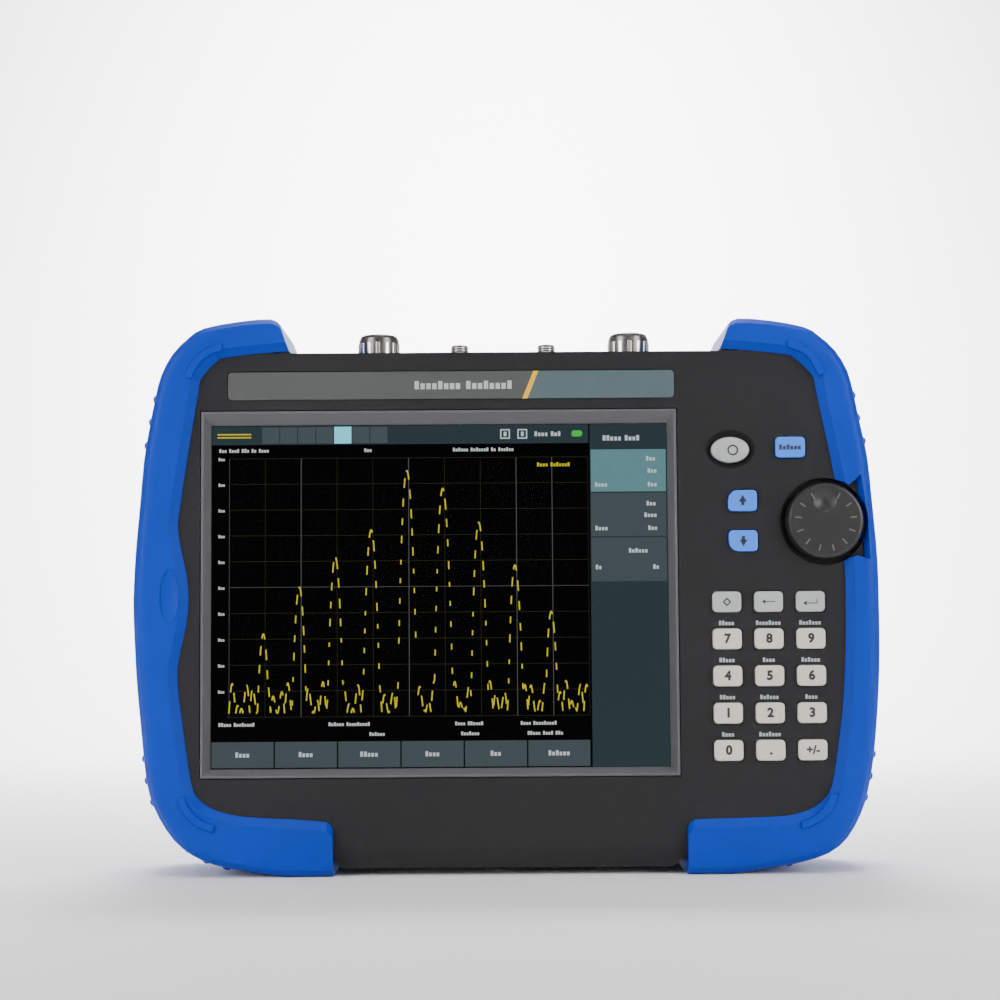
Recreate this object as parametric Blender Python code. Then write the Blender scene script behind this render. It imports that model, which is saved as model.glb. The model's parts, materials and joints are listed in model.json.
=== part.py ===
"""Handheld spectrum analyzer: casing, bumpers, keys, knob, connectors, stand and main internals.

The frame is +X to the user's right, -Y out of the screen, +Z up, with the origin under the middle
of the resting instrument. Sizes below are in millimetres and become metres when a mesh is written.
"""
import math

import bmesh
import bpy
from mathutils import Matrix, Vector

MM = 0.001
GAP = 0.3                       # clearance kept between neighbouring pieces

# ---- driving dimensions -------------------------------------------------------------------------
FACE_Y = -24.5                  # front face of the casing
BACK_Y = 27.0                   # back face of the casing
WALL = 2.5                      # casing wall thickness
PARTING_Y = -8.0                # where the two casing halves meet
TOP_Z = 184.1                   # top edge of the casing's front lip
DECK_Z = 178.0                  # connector deck behind the lip
LIP_BACK_Y = -12.0              # back of the front lip
BASE_Z = 2.6                    # underside of the casing between the bumpers
ARM_X = 61.0                    # inner end of each bumper's bottom arm
TOP_ARM_X = 76.5                # inner end of each bumper's top arm
SHOULDER_X = 83.0               # where the casing steps up under the top arms
SOLID_ARM_X = 80.0              # the top arms are solid rubber up to here

BUMPER_FRONT_Y = -27.5
BUMPER_BACK_Y = 30.0
BUMPER_WALL = 4.9               # rubber thickness on the side walls
BUMPER_EDGE = 5.0               # rounding between the bumper's faces and its side
BUMPER_FLANGE = 14.0            # width of the bumper's rear flange
SOLID_ARM_LIFT = 0.4            # how far the solid arm's underside lies above its front edge

SCREEN_X, SCREEN_Z = -23.5, 98.0            # centre of the display
SCREEN_W, SCREEN_H = 162.0, 121.5
SURROUND = (-107.7, 60.6, 34.3, 163.5)      # outer edge of the screen surround: x0, x1, z0, z1

KEY_X, KEY_Z = 92.27, 68.93                 # middle of the keypad
KEY_PITCH_X, KEY_PITCH_Z = 14.71, 12.99
KEY_W, KEY_H, KEY_R = 10.2, 7.3, 1.5
KEY_FRONT_Y = -25.8                         # top of a key cap
KEY_TRAVEL = 0.9
KEY_FLANGE_Y = (-21.6, -20.4)               # retaining flange behind the panel
KEY_FLANGE_RIM = 0.9
MAT_Y = (-19.2, -18.3)                      # rubber mat under the keys
KEY_BOARD_Y = (-18.0, -16.4)

POWER_DISH = (79.65, 148.95)                # centre of the dished recess round the power button
THUMB_REST = (-118.2, 98.0)                 # centre of the oval dish in the left bumper
THUMB_REST_SIZE = (7.0, 20.0)
KNOB_X, KNOB_Z, KNOB_R = 112.3, 123.1, 13.45
KNOB_FRONT_Y = -30.0
KNOB_TICKS = 12                             # engraved ticks, with the dimple in a thirteenth place
KNOB_WELL_R = 15.4
KNOB_WELL_SIDE_X = 124.1         # the well stops here, inside the bumper
KNOB_WELL_Y = -19.6                         # floor of the knob's recess
KNOB_FLOOR_Y = -17.6

CONNECTOR_Y = 5.5                           # row of connectors on the deck
LARGE_CONNECTOR_X = (-46.3, 45.9)
SMALL_CONNECTOR_X = (-16.5, 15.5)

STAND_X, STAND_TOP_Z, STAND_FOOT_Z = 78.0, 108.0, 22.0
STAND_BAR = 12.0
STAND_Y = (22.2, 26.8)
STAND_PIN_R = 1.2
BATTERY_Z = 70.0                            # centre of the battery and its cover

DOOR_Y, DOOR_Z = (-4.0, 16.0), (62.0, 128.0)    # side door over the sockets
DOOR_T = 2.4
DOOR_X = 129.9                  # middle of the door's thickness
SCREW_X, SCREW_Z = 104.0, (30.0, 164.0)
SCREW_R = 3.0


# ---- mesh helpers -------------------------------------------------------------------------------
def make_material(name, color, roughness, metallic=0.0):
    """A plain material with the piece's colour and finish."""
    material = bpy.data.materials.get(name)
    if material is None:
        material = bpy.data.materials.new(name)
        material.use_nodes = True
        shader = material.node_tree.nodes["Principled BSDF"]
        shader.inputs["Base Color"].default_value = (*color, 1.0)
        shader.inputs["Roughness"].default_value = roughness
        shader.inputs["Metallic"].default_value = metallic
    return material


def add_object(name, bm, material=None, pivot=(0, 0, 0), smooth_angle=30):
    """Write a bmesh drawn in millimetres as an object whose origin is at pivot."""
    bmesh.ops.recalc_face_normals(bm, faces=bm.faces)
    bmesh.ops.transform(bm, matrix=Matrix.Translation(-Vector(pivot)), verts=bm.verts)
    bmesh.ops.scale(bm, vec=(MM, MM, MM), verts=bm.verts)
    mesh = bpy.data.meshes.new(name)
    bm.to_mesh(mesh)
    bm.free()
    mesh.shade_smooth()
    mesh.set_sharp_from_angle(angle=math.radians(smooth_angle))
    item = bpy.data.objects.new(name, mesh)
    item.location = Vector(pivot) * MM
    bpy.context.scene.collection.objects.link(item)
    if material is not None:
        mesh.materials.append(material)
    return item


def loft_y(bm, sections):
    """Add a closed body through (outline, y) sections whose (x, z) outlines have equally many points."""
    rings = []
    for outline, y in sections:
        rings.append([bm.verts.new((x, y, z)) for x, z in outline])
    for a, b in zip(rings, rings[1:]):
        for i in range(len(a)):
            j = (i + 1) % len(a)
            bm.faces.new((a[i], a[j], b[j], b[i]))
    bm.faces.new(rings[0])
    bm.faces.new(rings[-1][::-1])


def prism_y(bm, outline, y0, y1):
    """Add a closed prism: an (x, z) outline extruded from y0 to y1."""
    loft_y(bm, [(outline, y0), (outline, y1)])


def prism_x(bm, outline, x0, x1):
    """Add a closed prism: a (y, z) outline extruded from x0 to x1."""
    near = [bm.verts.new((x0, y, z)) for y, z in outline]
    far = [bm.verts.new((x1, y, z)) for y, z in outline]
    count = len(outline)
    bm.faces.new(near)
    bm.faces.new(far[::-1])
    for i in range(count):
        j = (i + 1) % count
        bm.faces.new((near[i], near[j], far[j], far[i]))


def lathe(bm, profile, centre, axis, segments=32):
    """Turn a closed (radius, distance) profile about an axis; radius 0 points close at a pole."""
    rings = []
    for radius, along in profile:
        ring = []
        if radius == 0:
            steps = [0.0]
        else:
            steps = [2 * math.pi * k / segments for k in range(segments)]
        for angle in steps:
            u = radius * math.cos(angle)
            v = radius * math.sin(angle)
            offset = {"X": (along, u, v), "Y": (u, along, v), "Z": (u, v, along)}[axis]
            ring.append(bm.verts.new(Vector(centre) + Vector(offset)))
        rings.append(ring)
    for a, b in zip(rings, rings[1:] + rings[:1]):
        if len(a) == 1 and len(b) == 1:
            continue
        for k in range(segments):
            n = (k + 1) % segments
            if len(a) == 1:
                bm.faces.new((a[0], b[k], b[n]))
            elif len(b) == 1:
                bm.faces.new((a[k], a[n], b[0]))
            else:
                bm.faces.new((a[k], a[n], b[n], b[k]))


def disc_outline(x, z, radius, segments):
    """Points of a circle in the (x, z) plane."""
    turns = [2 * math.pi * k / segments for k in range(segments)]
    return [(x + radius * math.cos(t), z + radius * math.sin(t)) for t in turns]


def oval_outline(x, z, width, height, segments=28):
    """Points of an ellipse in the (x, z) plane."""
    turns = [2 * math.pi * k / segments for k in range(segments)]
    return [(x + width / 2 * math.cos(t), z + height / 2 * math.sin(t)) for t in turns]


def rounded_outline(x, z, width, height, radii, steps=3):
    """Points of a rectangle whose four corner radii run from lower left counter-clockwise."""
    if not isinstance(radii, (tuple, list)):
        radii = (radii,) * 4
    corners = [(-1, -1, 180), (1, -1, 270), (1, 1, 0), (-1, 1, 90)]
    points = []
    for (sx, sz, start), radius in zip(corners, radii):
        cx = x + sx * (width / 2 - radius)
        cz = z + sz * (height / 2 - radius)
        if radius == 0:
            points.append((cx, cz))
            continue
        for k in range(steps + 1):
            angle = math.radians(start + 90 * k / steps)
            points.append((cx + radius * math.cos(angle), cz + radius * math.sin(angle)))
    return points


def box(bm, x0, x1, y0, y1, z0, z1):
    """Add a closed box between two corners."""
    prism_y(bm, [(x0, z0), (x1, z0), (x1, z1), (x0, z1)], y0, y1)


def cut(target, bm, name):
    """Subtract the closed shapes in bm from target."""
    combine(target, bm, name, "DIFFERENCE")


def join(target, bm, name):
    """Add the closed shapes in bm to target."""
    combine(target, bm, name, "UNION")


def combine(target, bm, name, operation):
    """Put a Boolean modifier on target that uses the closed shapes in bm."""
    cutter = add_object(f"{target.name}_{name}", bm)
    cutter.hide_render = True
    cutter.display_type = "WIRE"
    modifier = target.modifiers.new(name, "BOOLEAN")
    modifier.operation = operation
    modifier.solver = "EXACT"
    modifier.object = cutter


# ---- outlines shared by the casing and the bumpers ----------------------------------------------
# Each station crosses one bumper, from its edge on the panel to its outer side, as
# (panel x, panel z, outer x, outer z), for the left side with x positive outwards.
LEFT_SIDE = [
    (76.5, 184.9, 79.9, 194.8), (79.0, 184.7, 83.2, 196.8), (88, 184.0, 94.5, 196.0),
    (100, 182.6, 107.0, 193.7), (102, 181.5, 112.4, 190.4), (105.5, 178.0, 118.2, 184.5), (108.0, 174.5, 122.3, 176.8),
    (108.6, 170.5, 124.4, 168.4), (110.2, 161.0, 126.2, 158.9), (112.6, 146.0, 128.3, 146.0),
    (115.0, 129.5, 129.6, 130.0), (115.7, 122.5, 130.3, 122.5), (114.6, 115.0, 130.9, 115.0),
    (112.6, 106.0, 131.4, 106.0), (111.8, 97.0, 131.7, 97.0), (112.6, 88.0, 131.5, 88.0),
    (114.6, 79.0, 131.0, 79.0), (115.7, 71.5, 130.6, 71.5), (115.0, 62.0, 129.8, 62.0),
    (113.4, 50.5, 128.6, 50.5), (111.6, 38.0, 127.3, 38.0), (109.8, 29.8, 125.6, 28.6),
    (107.4, 26.8, 122.2, 20.6), (103.9, 24.2, 117.0, 12.9), (98.9, 22.4, 110.5, 7.6),
    (93.9, 21.3, 102.6, 4.2), (86, 20.6, 91.2, 1.9), (76, 20.1, 78.0, 0.0),
]
RIGHT_SIDE = [
    (76.5, 184.9, 79.9, 194.2), (79.0, 184.7, 83.2, 196.0), (88, 184.0, 94.5, 195.2),
    (100, 182.6, 106.8, 192.8), (102.5, 181.5, 112.1, 189.6), (106.5, 178.0, 117.9, 184.1), (109.4, 174.5, 122.1, 176.8),
    (110.2, 170.5, 124.2, 168.4), (112.0, 161.0, 126.0, 159.0), (115.0, 146.0, 128.6, 146.0),
    (117.6, 130.0, 130.0, 130.0), (118.8, 115.0, 131.2, 115.0), (119.4, 106.0, 131.6, 106.0),
    (119.5, 97.0, 131.7, 97.0), (119.3, 84.0, 131.7, 84.0), (118.8, 71.5, 131.4, 71.5),
    (117.6, 56.0, 130.4, 56.0), (115.3, 40.0, 128.7, 40.0), (113.4, 30.2, 126.5, 28.6),
    (110.8, 26.0, 123.8, 20.4), (106.9, 22.9, 118.9, 12.0), (102.4, 21.2, 112.4, 6.9),
    (97.6, 20.2, 103.8, 4.0), (88, 19.7, 91.6, 1.8), (76, 19.4, 78.0, 0.0),
]


def arm_end(x, top=19.2, radius=3.6, steps=3):
    """Stations that round off the upper corner of a bottom arm ending at x."""
    stations = []
    for k in range(steps + 1):
        angle = math.radians(90 * k / steps)
        along = x + radius * (1 - math.sin(angle))
        stations.append((along, top - radius * (1 - math.cos(angle)), along, 0.0))
    return stations


def unit(x, z):
    """The direction (x, z) at length 1."""
    length = math.hypot(x, z)
    return x / length, z / length


def casing_side(stations, inset):
    """The casing's side, from under the top arm to under the bottom arm, inset mm inside the bumper."""
    points = []
    for x0, z0, x1, z1 in stations:
        across = unit(x1 - x0, z1 - z0)
        points.append((x1 - across[0] * inset, z1 - across[1] * inset))
    return points


def casing_outline(shrink=0.0, top=TOP_Z):
    """The casing seen from the front, shrunk all round by shrink."""
    inset = BUMPER_WALL + GAP + shrink
    half = {}
    for side, stations in (("left", LEFT_SIDE), ("right", RIGHT_SIDE)):
        points = casing_side(stations[2:], inset)
        step = (SHOULDER_X, top - shrink)
        foot = (ARM_X - 0.4, BUMPER_WALL + GAP + shrink)
        toe = (ARM_X - 3.0, BASE_Z + shrink)
        half[side] = [step] + points + [foot, toe]
    left = [(-x, z) for x, z in half["left"]]
    right = half["right"]
    return right[::-1] + left


# ---- pieces -------------------------------------------------------------------------------------
def key_places():
    """Name and centre of every keypad key, row by row from the top."""
    names = ["clear", "backspace", "enter", "7", "8", "9", "4", "5", "6", "1", "2", "3", "0", "point", "sign"]
    places = []
    for index, name in enumerate(names):
        row, column = divmod(index, 3)
        x = KEY_X + (column - 1) * KEY_PITCH_X
        z = KEY_Z + (2 - row) * KEY_PITCH_Z
        places.append((f"key_{name}", x, z))
    return places


def arrow_key_radii(lower):
    """Corner radii of an arrow key, with one corner cut round towards the screen."""
    large = 3.4
    return (large, KEY_R, KEY_R, KEY_R) if lower else (KEY_R, KEY_R, KEY_R, large)


def button_shapes():
    """Name, centre and outline function of every pressed button; the function takes a margin."""
    def rectangle(x, z, width, height, radii):
        def outline(margin):
            grown = tuple(r + margin for r in radii)
            return rounded_outline(x, z, width + 2 * margin, height + 2 * margin, grown)
        return outline

    def oval(x, z, width, height):
        def outline(margin):
            return oval_outline(x, z, width + 2 * margin, height + 2 * margin)
        return outline

    even = (KEY_R,) * 4
    shapes = [("power_button", 79.6, 148.7, oval(79.6, 148.7, 13.5, 9.1))]
    shapes.append(("preset_key", 100.8, 149.45, rectangle(100.8, 149.45, 10.6, 7.5, even)))
    shapes.append(("up_key", 83.65, 130.6, rectangle(83.65, 130.6, 10.3, 7.6, arrow_key_radii(False))))
    shapes.append(("down_key", 83.7, 116.4, rectangle(83.7, 116.4, 10.3, 7.6, arrow_key_radii(True))))
    for name, x, z in key_places():
        shapes.append((name, x, z, rectangle(x, z, KEY_W, KEY_H, even)))
    return shapes


def make_front_shell(material):
    """Front casing half: face, side walls, lip, and openings for the screen, buttons and knob."""
    bm = bmesh.new()
    prism_y(bm, casing_outline(), FACE_Y, PARTING_Y)
    shell = add_object("front_shell", bm, material)

    bm = bmesh.new()
    prism_y(bm, casing_outline(WALL, DECK_Z), FACE_Y + WALL, PARTING_Y + 5)
    cut(shell, bm, "cavity")

    bm = bmesh.new()
    well = [(min(x, KNOB_WELL_SIDE_X), z) for x, z in disc_outline(KNOB_X, KNOB_Z, KNOB_WELL_R + 1.6, 40)]
    prism_y(bm, well, FACE_Y + 1, KNOB_FLOOR_Y)
    join(shell, bm, "well")

    bm = bmesh.new()
    x0, x1, z0, z1 = SURROUND
    box(bm, x0 - GAP, x1 + GAP, FACE_Y - 5, FACE_Y + WALL + 2, z0 - GAP, z1 + GAP)
    for _, _, _, outline in button_shapes():
        prism_y(bm, outline(0.35), FACE_Y - 5, FACE_Y + WALL + 2)
    prism_y(bm, disc_outline(KNOB_X, KNOB_Z, KNOB_WELL_R, 40), FACE_Y - 5, KNOB_WELL_Y)
    prism_y(bm, rounded_outline(-19.1, 172.45, 158.8, 10.5, 1.6), FACE_Y - 5, FACE_Y + 0.9)
    box(bm, -TOP_ARM_X, TOP_ARM_X, LIP_BACK_Y, PARTING_Y + 5, DECK_Z, TOP_Z + 10)
    cut(shell, bm, "openings")

    bm = bmesh.new()
    prism_y(bm, disc_outline(KNOB_X, KNOB_Z, 4.2, 20), FACE_Y, KNOB_FLOOR_Y + 3)
    dish = [(oval_outline(*POWER_DISH, 19.5, 15.5), FACE_Y - 0.5), (oval_outline(*POWER_DISH, 17.9, 13.9), FACE_Y)]
    dish.append((oval_outline(*POWER_DISH, 14.6, 10.3), FACE_Y + 1.9))
    loft_y(bm, dish)
    chin = [(FACE_Y - 4, 19.9), (FACE_Y - 4, BASE_Z - 3), (FACE_Y + 4.2, BASE_Z - 3)]
    prism_x(bm, chin, -140, 140)
    cut(shell, bm, "details")
    return shell


def make_rear_shell(material):
    """Rear casing half: back wall, side walls, connector deck and the stand's channel."""
    bm = bmesh.new()
    prism_y(bm, casing_outline(0.0, DECK_Z), PARTING_Y + GAP, BACK_Y)
    shell = add_object("rear_shell", bm, material)

    bm = bmesh.new()
    prism_y(bm, casing_outline(WALL, DECK_Z), PARTING_Y - 5, 19.0)
    cut(shell, bm, "cavity")

    bm = bmesh.new()
    prism_y(bm, stand_outline(0.5, 3.0), STAND_Y[0] - 0.6, BACK_Y + 5)
    prism_y(bm, rounded_outline(0, BATTERY_Z, 116.6, 66.6, 3.3), 18.0, BACK_Y + 5)
    for x in LARGE_CONNECTOR_X:
        lathe(bm, [(0, 165), (7.0, 165), (7.0, 190), (0, 190)], (x, CONNECTOR_Y, 0), "Z", 32)
    for x in SMALL_CONNECTOR_X:
        lathe(bm, [(0, 165), (3.6, 165), (3.6, 190), (0, 190)], (x, CONNECTOR_Y, 0), "Z", 24)
    for x, z in screw_places():
        lathe(bm, [(0, 22.5), (SCREW_R + GAP, 22.5), (SCREW_R + GAP, 32), (0, 32)], (x, 0, z), "Y", 24)
    box(bm, -140, -118, DOOR_Y[0] + 2, DOOR_Y[1] - 4, DOOR_Z[0] + 4, DOOR_Z[1] - 4)
    cut(shell, bm, "openings")

    bm = bmesh.new()
    for side in (-1, 1):
        centre = (side * (STAND_X - STAND_BAR / 2), pin_y(), STAND_TOP_Z)
        reach = STAND_BAR / 2 + 4.5
        lathe(bm, [(0, -reach), (1.5, -reach), (1.5, reach), (0, reach)], centre, "X", 16)
    cut(shell, bm, "pin_holes")
    return shell


def make_bumper(name, stations, side, material):
    """One rubber bumper: a channel section carried along its stations, with the fittings cut in."""
    bm = bmesh.new()
    loops = []
    for x0, z0, x1, z1 in smooth_stations(stations):
        across = unit(x1 - x0, z1 - z0)
        width = math.hypot(x1 - x0, z1 - z0)
        loop = []
        solid = z0 > TOP_Z and x0 < SOLID_ARM_X
        for s, y in bumper_section(width, solid):
            loop.append(bm.verts.new((side * (x0 + across[0] * s), y, z0 + across[1] * s)))
        loops.append(loop)
    for a, b in zip(loops, loops[1:]):
        for i in range(len(a)):
            j = (i + 1) % len(a)
            bm.faces.new((a[i], a[j], b[j], b[i]))
    bm.faces.new(loops[0])
    bm.faces.new(loops[-1][::-1])
    return add_object(name, bm, material, smooth_angle=35)


def smooth_stations(stations, between=1):
    """Stations with a curve's points put between them, where the side bends."""
    points = [Vector(s) for s in stations]
    result = []
    for i in range(len(points) - 1):
        before = points[max(i - 1, 0)]
        after = points[min(i + 2, len(points) - 1)]
        result.append(points[i])
        for k in range(1, between + 1):
            t = k / (between + 1)
            a, b = points[i], points[i + 1]
            tangent_a = (b - before) / 2 if i > 0 else b - a
            tangent_b = (after - a) / 2 if i + 2 < len(points) else b - a
            h = ((2 * t**3 - 3 * t**2 + 1) * a + (t**3 - 2 * t**2 + t) * tangent_a
                 + (-2 * t**3 + 3 * t**2) * b + (t**3 - t**2) * tangent_b)
            h.w = max(h.w, 0.0)
            result.append(h)
    result.append(points[-1])
    return result


def bumper_section(width, solid):
    """The bumper's section as (distance from the panel edge, y), from its panel edge round the outside."""
    chamfer = 3.0
    steps = 3
    flange_y = FACE_Y - GAP
    section = [(0.0, flange_y), (chamfer, BUMPER_FRONT_Y)]
    for k in range(steps + 1):
        angle = math.radians(90 * k / steps)
        s = width - BUMPER_EDGE + BUMPER_EDGE * math.sin(angle)
        section.append((s, BUMPER_FRONT_Y + BUMPER_EDGE * (1 - math.cos(angle))))
    for k in range(steps + 1):
        angle = math.radians(90 * k / steps)
        s = width - BUMPER_EDGE + BUMPER_EDGE * math.cos(angle)
        section.append((s, BUMPER_BACK_Y - BUMPER_EDGE * (1 - math.sin(angle))))
    rear_edge = width - BUMPER_FLANGE
    inside = SOLID_ARM_LIFT if solid else width - BUMPER_WALL
    section += [(rear_edge, BUMPER_BACK_Y), (rear_edge, BACK_Y + GAP)]
    section += [(inside, BACK_Y + GAP), (inside, flange_y)]
    return section


def make_left_bumper(material):
    """Left bumper, with the side door's opening."""
    bumper = make_bumper("left_bumper", LEFT_SIDE + arm_end(ARM_X), -1, material)
    bm = bmesh.new()
    box(bm, -145, -118, DOOR_Y[0] - 0.4, DOOR_Y[1] + 0.4, DOOR_Z[0] - 0.4, DOOR_Z[1] + 0.4)
    cut(bumper, bm, "door_opening")
    bm = bmesh.new()
    width, height = THUMB_REST_SIZE
    depth, rows = 1.3, 4
    sections = []
    for k in range(rows + 1):
        lift = 2 * depth * k / rows - depth
        reach = math.sqrt(max(1 - (lift / (depth * 1.05))**2, 0.0))
        sections.append((oval_outline(*THUMB_REST, width * reach, height * reach, 20), BUMPER_FRONT_Y - lift))
    loft_y(bm, sections)
    cut(bumper, bm, "thumb_rest")
    return bumper


def make_right_bumper(material):
    """Right bumper, hollowed where the knob stands."""
    bumper = make_bumper("right_bumper", RIGHT_SIDE + arm_end(ARM_X + 1.8), 1, material)
    bm = bmesh.new()
    prism_y(bm, disc_outline(KNOB_X, KNOB_Z, KNOB_WELL_R, 40), BUMPER_FRONT_Y - 5, KNOB_WELL_Y)
    cut(bumper, bm, "knob_hollow")
    low = [(112.0, 131.0), (112.0, 112.0), (118.4, 108.9), (119.8, 109.4), (121.4, 110.3), (123.6, 110.9)]
    floor = low + [(126.6, 110.2), (126.2, 118.3), (125.9, 125.3), (123.7, 137.9), (120.6, 135.4)]
    mouth = low + [(128.4, 109.4), (128.1, 118.3), (127.7, 125.3), (125.6, 140.0), (120.6, 135.4)]
    bm = bmesh.new()
    loft_y(bm, [(mouth, BUMPER_FRONT_Y - 5), (mouth, BUMPER_FRONT_Y), (floor, FACE_Y - 0.2)])
    cut(bumper, bm, "flange_gap")
    return bumper


def make_display_surround(material):
    """Mitred frame that slopes from the panel face down to the screen."""
    x0, x1, z0, z1 = SURROUND
    inner = (SCREEN_X - SCREEN_W / 2, SCREEN_X + SCREEN_W / 2, SCREEN_Z - SCREEN_H / 2, SCREEN_Z + SCREEN_H / 2)
    rim = 0.8
    bm = bmesh.new()
    rings = []
    levels = [
        ((x0, x1, z0, z1), FACE_Y), ((x0 + rim, x1 - rim, z0 + rim, z1 - rim), FACE_Y), (inner, -21.2),
        (inner, -20.7), ((x0, x1, z0, z1), -20.7),
    ]
    for (a, b, c, d), y in levels:
        rings.append([bm.verts.new(p) for p in ((a, y, c), (b, y, c), (b, y, d), (a, y, d))])
    for a, b in zip(rings, rings[1:] + rings[:1]):
        for i in range(4):
            j = (i + 1) % 4
            bm.faces.new((a[i], a[j], b[j], b[i]))
    return add_object("display_surround", bm, material)


def make_slab(name, outline, y0, y1, material):
    """A flat piece with the given front outline."""
    bm = bmesh.new()
    prism_y(bm, outline, y0, y1)
    return add_object(name, bm, material)


def make_button(name, x, z, outline, material):
    """A key cap with a rounded front edge and a retaining flange, pivoted at its own centre."""
    bm = bmesh.new()
    levels = [(-0.55, KEY_FRONT_Y), (-0.15, KEY_FRONT_Y + 0.15), (0.0, KEY_FRONT_Y + 0.5), (0.0, KEY_FLANGE_Y[0])]
    levels += [(KEY_FLANGE_RIM, KEY_FLANGE_Y[0]), (KEY_FLANGE_RIM, KEY_FLANGE_Y[1])]
    loft_y(bm, [(outline(margin), y) for margin, y in levels])
    return add_object(name, bm, material, pivot=(x, KEY_FRONT_Y, z))


def make_control_knob(material):
    """Turning knob with a finger dimple in its face and a shaft into the encoder."""
    profile = [
        (0, KNOB_FRONT_Y), (KNOB_R - 1.6, KNOB_FRONT_Y), (KNOB_R - 0.5, KNOB_FRONT_Y + 0.5),
        (KNOB_R, KNOB_FRONT_Y + 1.6), (KNOB_R, KNOB_WELL_Y - 0.6), (3.0, KNOB_WELL_Y - 0.6),
        (3.0, KNOB_FLOOR_Y + 3.0), (0, KNOB_FLOOR_Y + 3.0),
    ]
    bm = bmesh.new()
    lathe(bm, profile, (KNOB_X, 0, KNOB_Z), "Y", 48)
    knob = add_object("control_knob", bm, material, pivot=(KNOB_X, 0, KNOB_Z))
    bm = bmesh.new()
    dimple_r, dimple_depth, rows = 4.25, 1.3, 4
    ball_r = (dimple_r**2 + dimple_depth**2) / (2 * dimple_depth)
    centre_y = KNOB_FRONT_Y - ball_r + dimple_depth
    reach = math.asin(dimple_r / ball_r) * 1.15
    arc = [(ball_r * math.sin(reach * k / rows), ball_r * math.cos(reach * k / rows)) for k in range(rows + 1)]
    profile = [(0, arc[-1][1] - 1.0), (arc[-1][0], arc[-1][1] - 1.0)] + arc[::-1]
    lathe(bm, profile, (KNOB_X - 0.3, centre_y, KNOB_Z + 7.1), "Y", 20)
    cut(knob, bm, "dimple")
    bm = bmesh.new()
    for k in range(KNOB_TICKS):
        angle = math.radians(90 + 360 * (k + 1) / (KNOB_TICKS + 1))
        tick = [(8.6, -0.3), (11.0, -0.3), (11.0, 0.3), (8.6, 0.3)]
        turned = []
        for along, aside in tick:
            turned.append((KNOB_X + along * math.cos(angle) - aside * math.sin(angle),
                           KNOB_Z + along * math.sin(angle) + aside * math.cos(angle)))
        prism_y(bm, turned, KNOB_FRONT_Y - 1, KNOB_FRONT_Y + 0.25)
    cut(knob, bm, "ticks")
    return knob


def make_encoder(material):
    """Rotary encoder behind the knob, with a bore for the knob's shaft."""
    front, back = KNOB_FLOOR_Y + GAP, -10.0
    profile = [(3.3, front), (7.0, front), (7.0, back), (0, back), (0, KNOB_FLOOR_Y + 3.4), (3.3, KNOB_FLOOR_Y + 3.4)]
    bm = bmesh.new()
    lathe(bm, profile, (KNOB_X, 0, KNOB_Z), "Y", 24)
    return add_object("encoder", bm, material)


def make_large_connector(name, x, material):
    """Large coaxial connector: stepped barrel above the deck, socket in its end, body below."""
    profile = [
        (0, 160.0), (6.5, 160.0), (6.5, DECK_Z + GAP), (8.6, DECK_Z + GAP), (8.6, DECK_Z + 2.2),
        (7.4, DECK_Z + 2.6), (7.4, 192.6), (6.7, 194.2), (5.9, 194.6), (4.1, 194.6), (4.1, 186.5), (0, 186.5),
    ]
    bm = bmesh.new()
    lathe(bm, profile, (x, CONNECTOR_Y, 0), "Z", 32)
    return add_object(name, bm, material)


def make_small_connector(name, x, material):
    """Small threaded coaxial connector with a hexagon-height collar."""
    profile = [
        (0, 164.0), (3.1, 164.0), (3.1, DECK_Z + GAP), (4.6, DECK_Z + GAP), (4.6, DECK_Z + 2.4),
        (3.1, DECK_Z + 2.6), (3.1, 190.5), (2.8, 190.8), (2.2, 190.8), (2.2, 186.0), (0, 186.0),
    ]
    bm = bmesh.new()
    lathe(bm, profile, (x, CONNECTOR_Y, 0), "Z", 24)
    return add_object(name, bm, material)


def keypad_area(margin):
    """Outline of the key board, stepped round the encoder."""
    left, right, low, high = 70.0 + margin, 118.0 - margin, 34.0 + margin, 157.0 - margin
    inner = 94.6 - margin
    notch = (KNOB_Z - 19.0 - margin, KNOB_Z + 19.0 + margin)
    return [
        (left, low), (right - 6, low), (right, low + 8), (right, notch[0]), (inner, notch[0]), (inner, notch[1]),
        (right - 8, notch[1]), (right - 8, high), (left, high),
    ]


def stand_outline(margin, top_room):
    """U-shaped stand seen from behind; margin grows it all round and top_room lengthens its ends."""
    half, bar = STAND_X + margin, STAND_BAR + 2 * margin
    top = STAND_TOP_Z + top_room
    foot = STAND_FOOT_Z - margin
    inner = half - bar
    sill = foot + bar
    return [(-half, foot), (half, foot), (half, top), (inner, top), (inner, sill), (-inner, sill), (-inner, top), (-half, top)]


def pin_y():
    """Depth of the stand's hinge axis."""
    return (STAND_Y[0] + STAND_Y[1]) / 2


def make_kickstand(material):
    """Fold-out stand with rounded ends about its hinge axis, bored for the pins."""
    radius = (STAND_Y[1] - STAND_Y[0]) / 2
    bm = bmesh.new()
    prism_y(bm, stand_outline(0.0, 0.0), STAND_Y[0], STAND_Y[1])
    stand = add_object("kickstand", bm, material, pivot=(0, pin_y(), STAND_TOP_Z))
    bm = bmesh.new()
    for side in (-1, 1):
        near, far = sorted((side * (STAND_X - STAND_BAR), side * STAND_X))
        lathe(bm, [(0, near), (radius, near), (radius, far), (0, far)], (0, pin_y(), STAND_TOP_Z), "X", 24)
    join(stand, bm, "knuckles")
    bm = bmesh.new()
    lathe(bm, [(0, -90), (1.5, -90), (1.5, 90), (0, 90)], (0, pin_y(), STAND_TOP_Z), "X", 16)
    cut(stand, bm, "pin_bore")
    return stand


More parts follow.
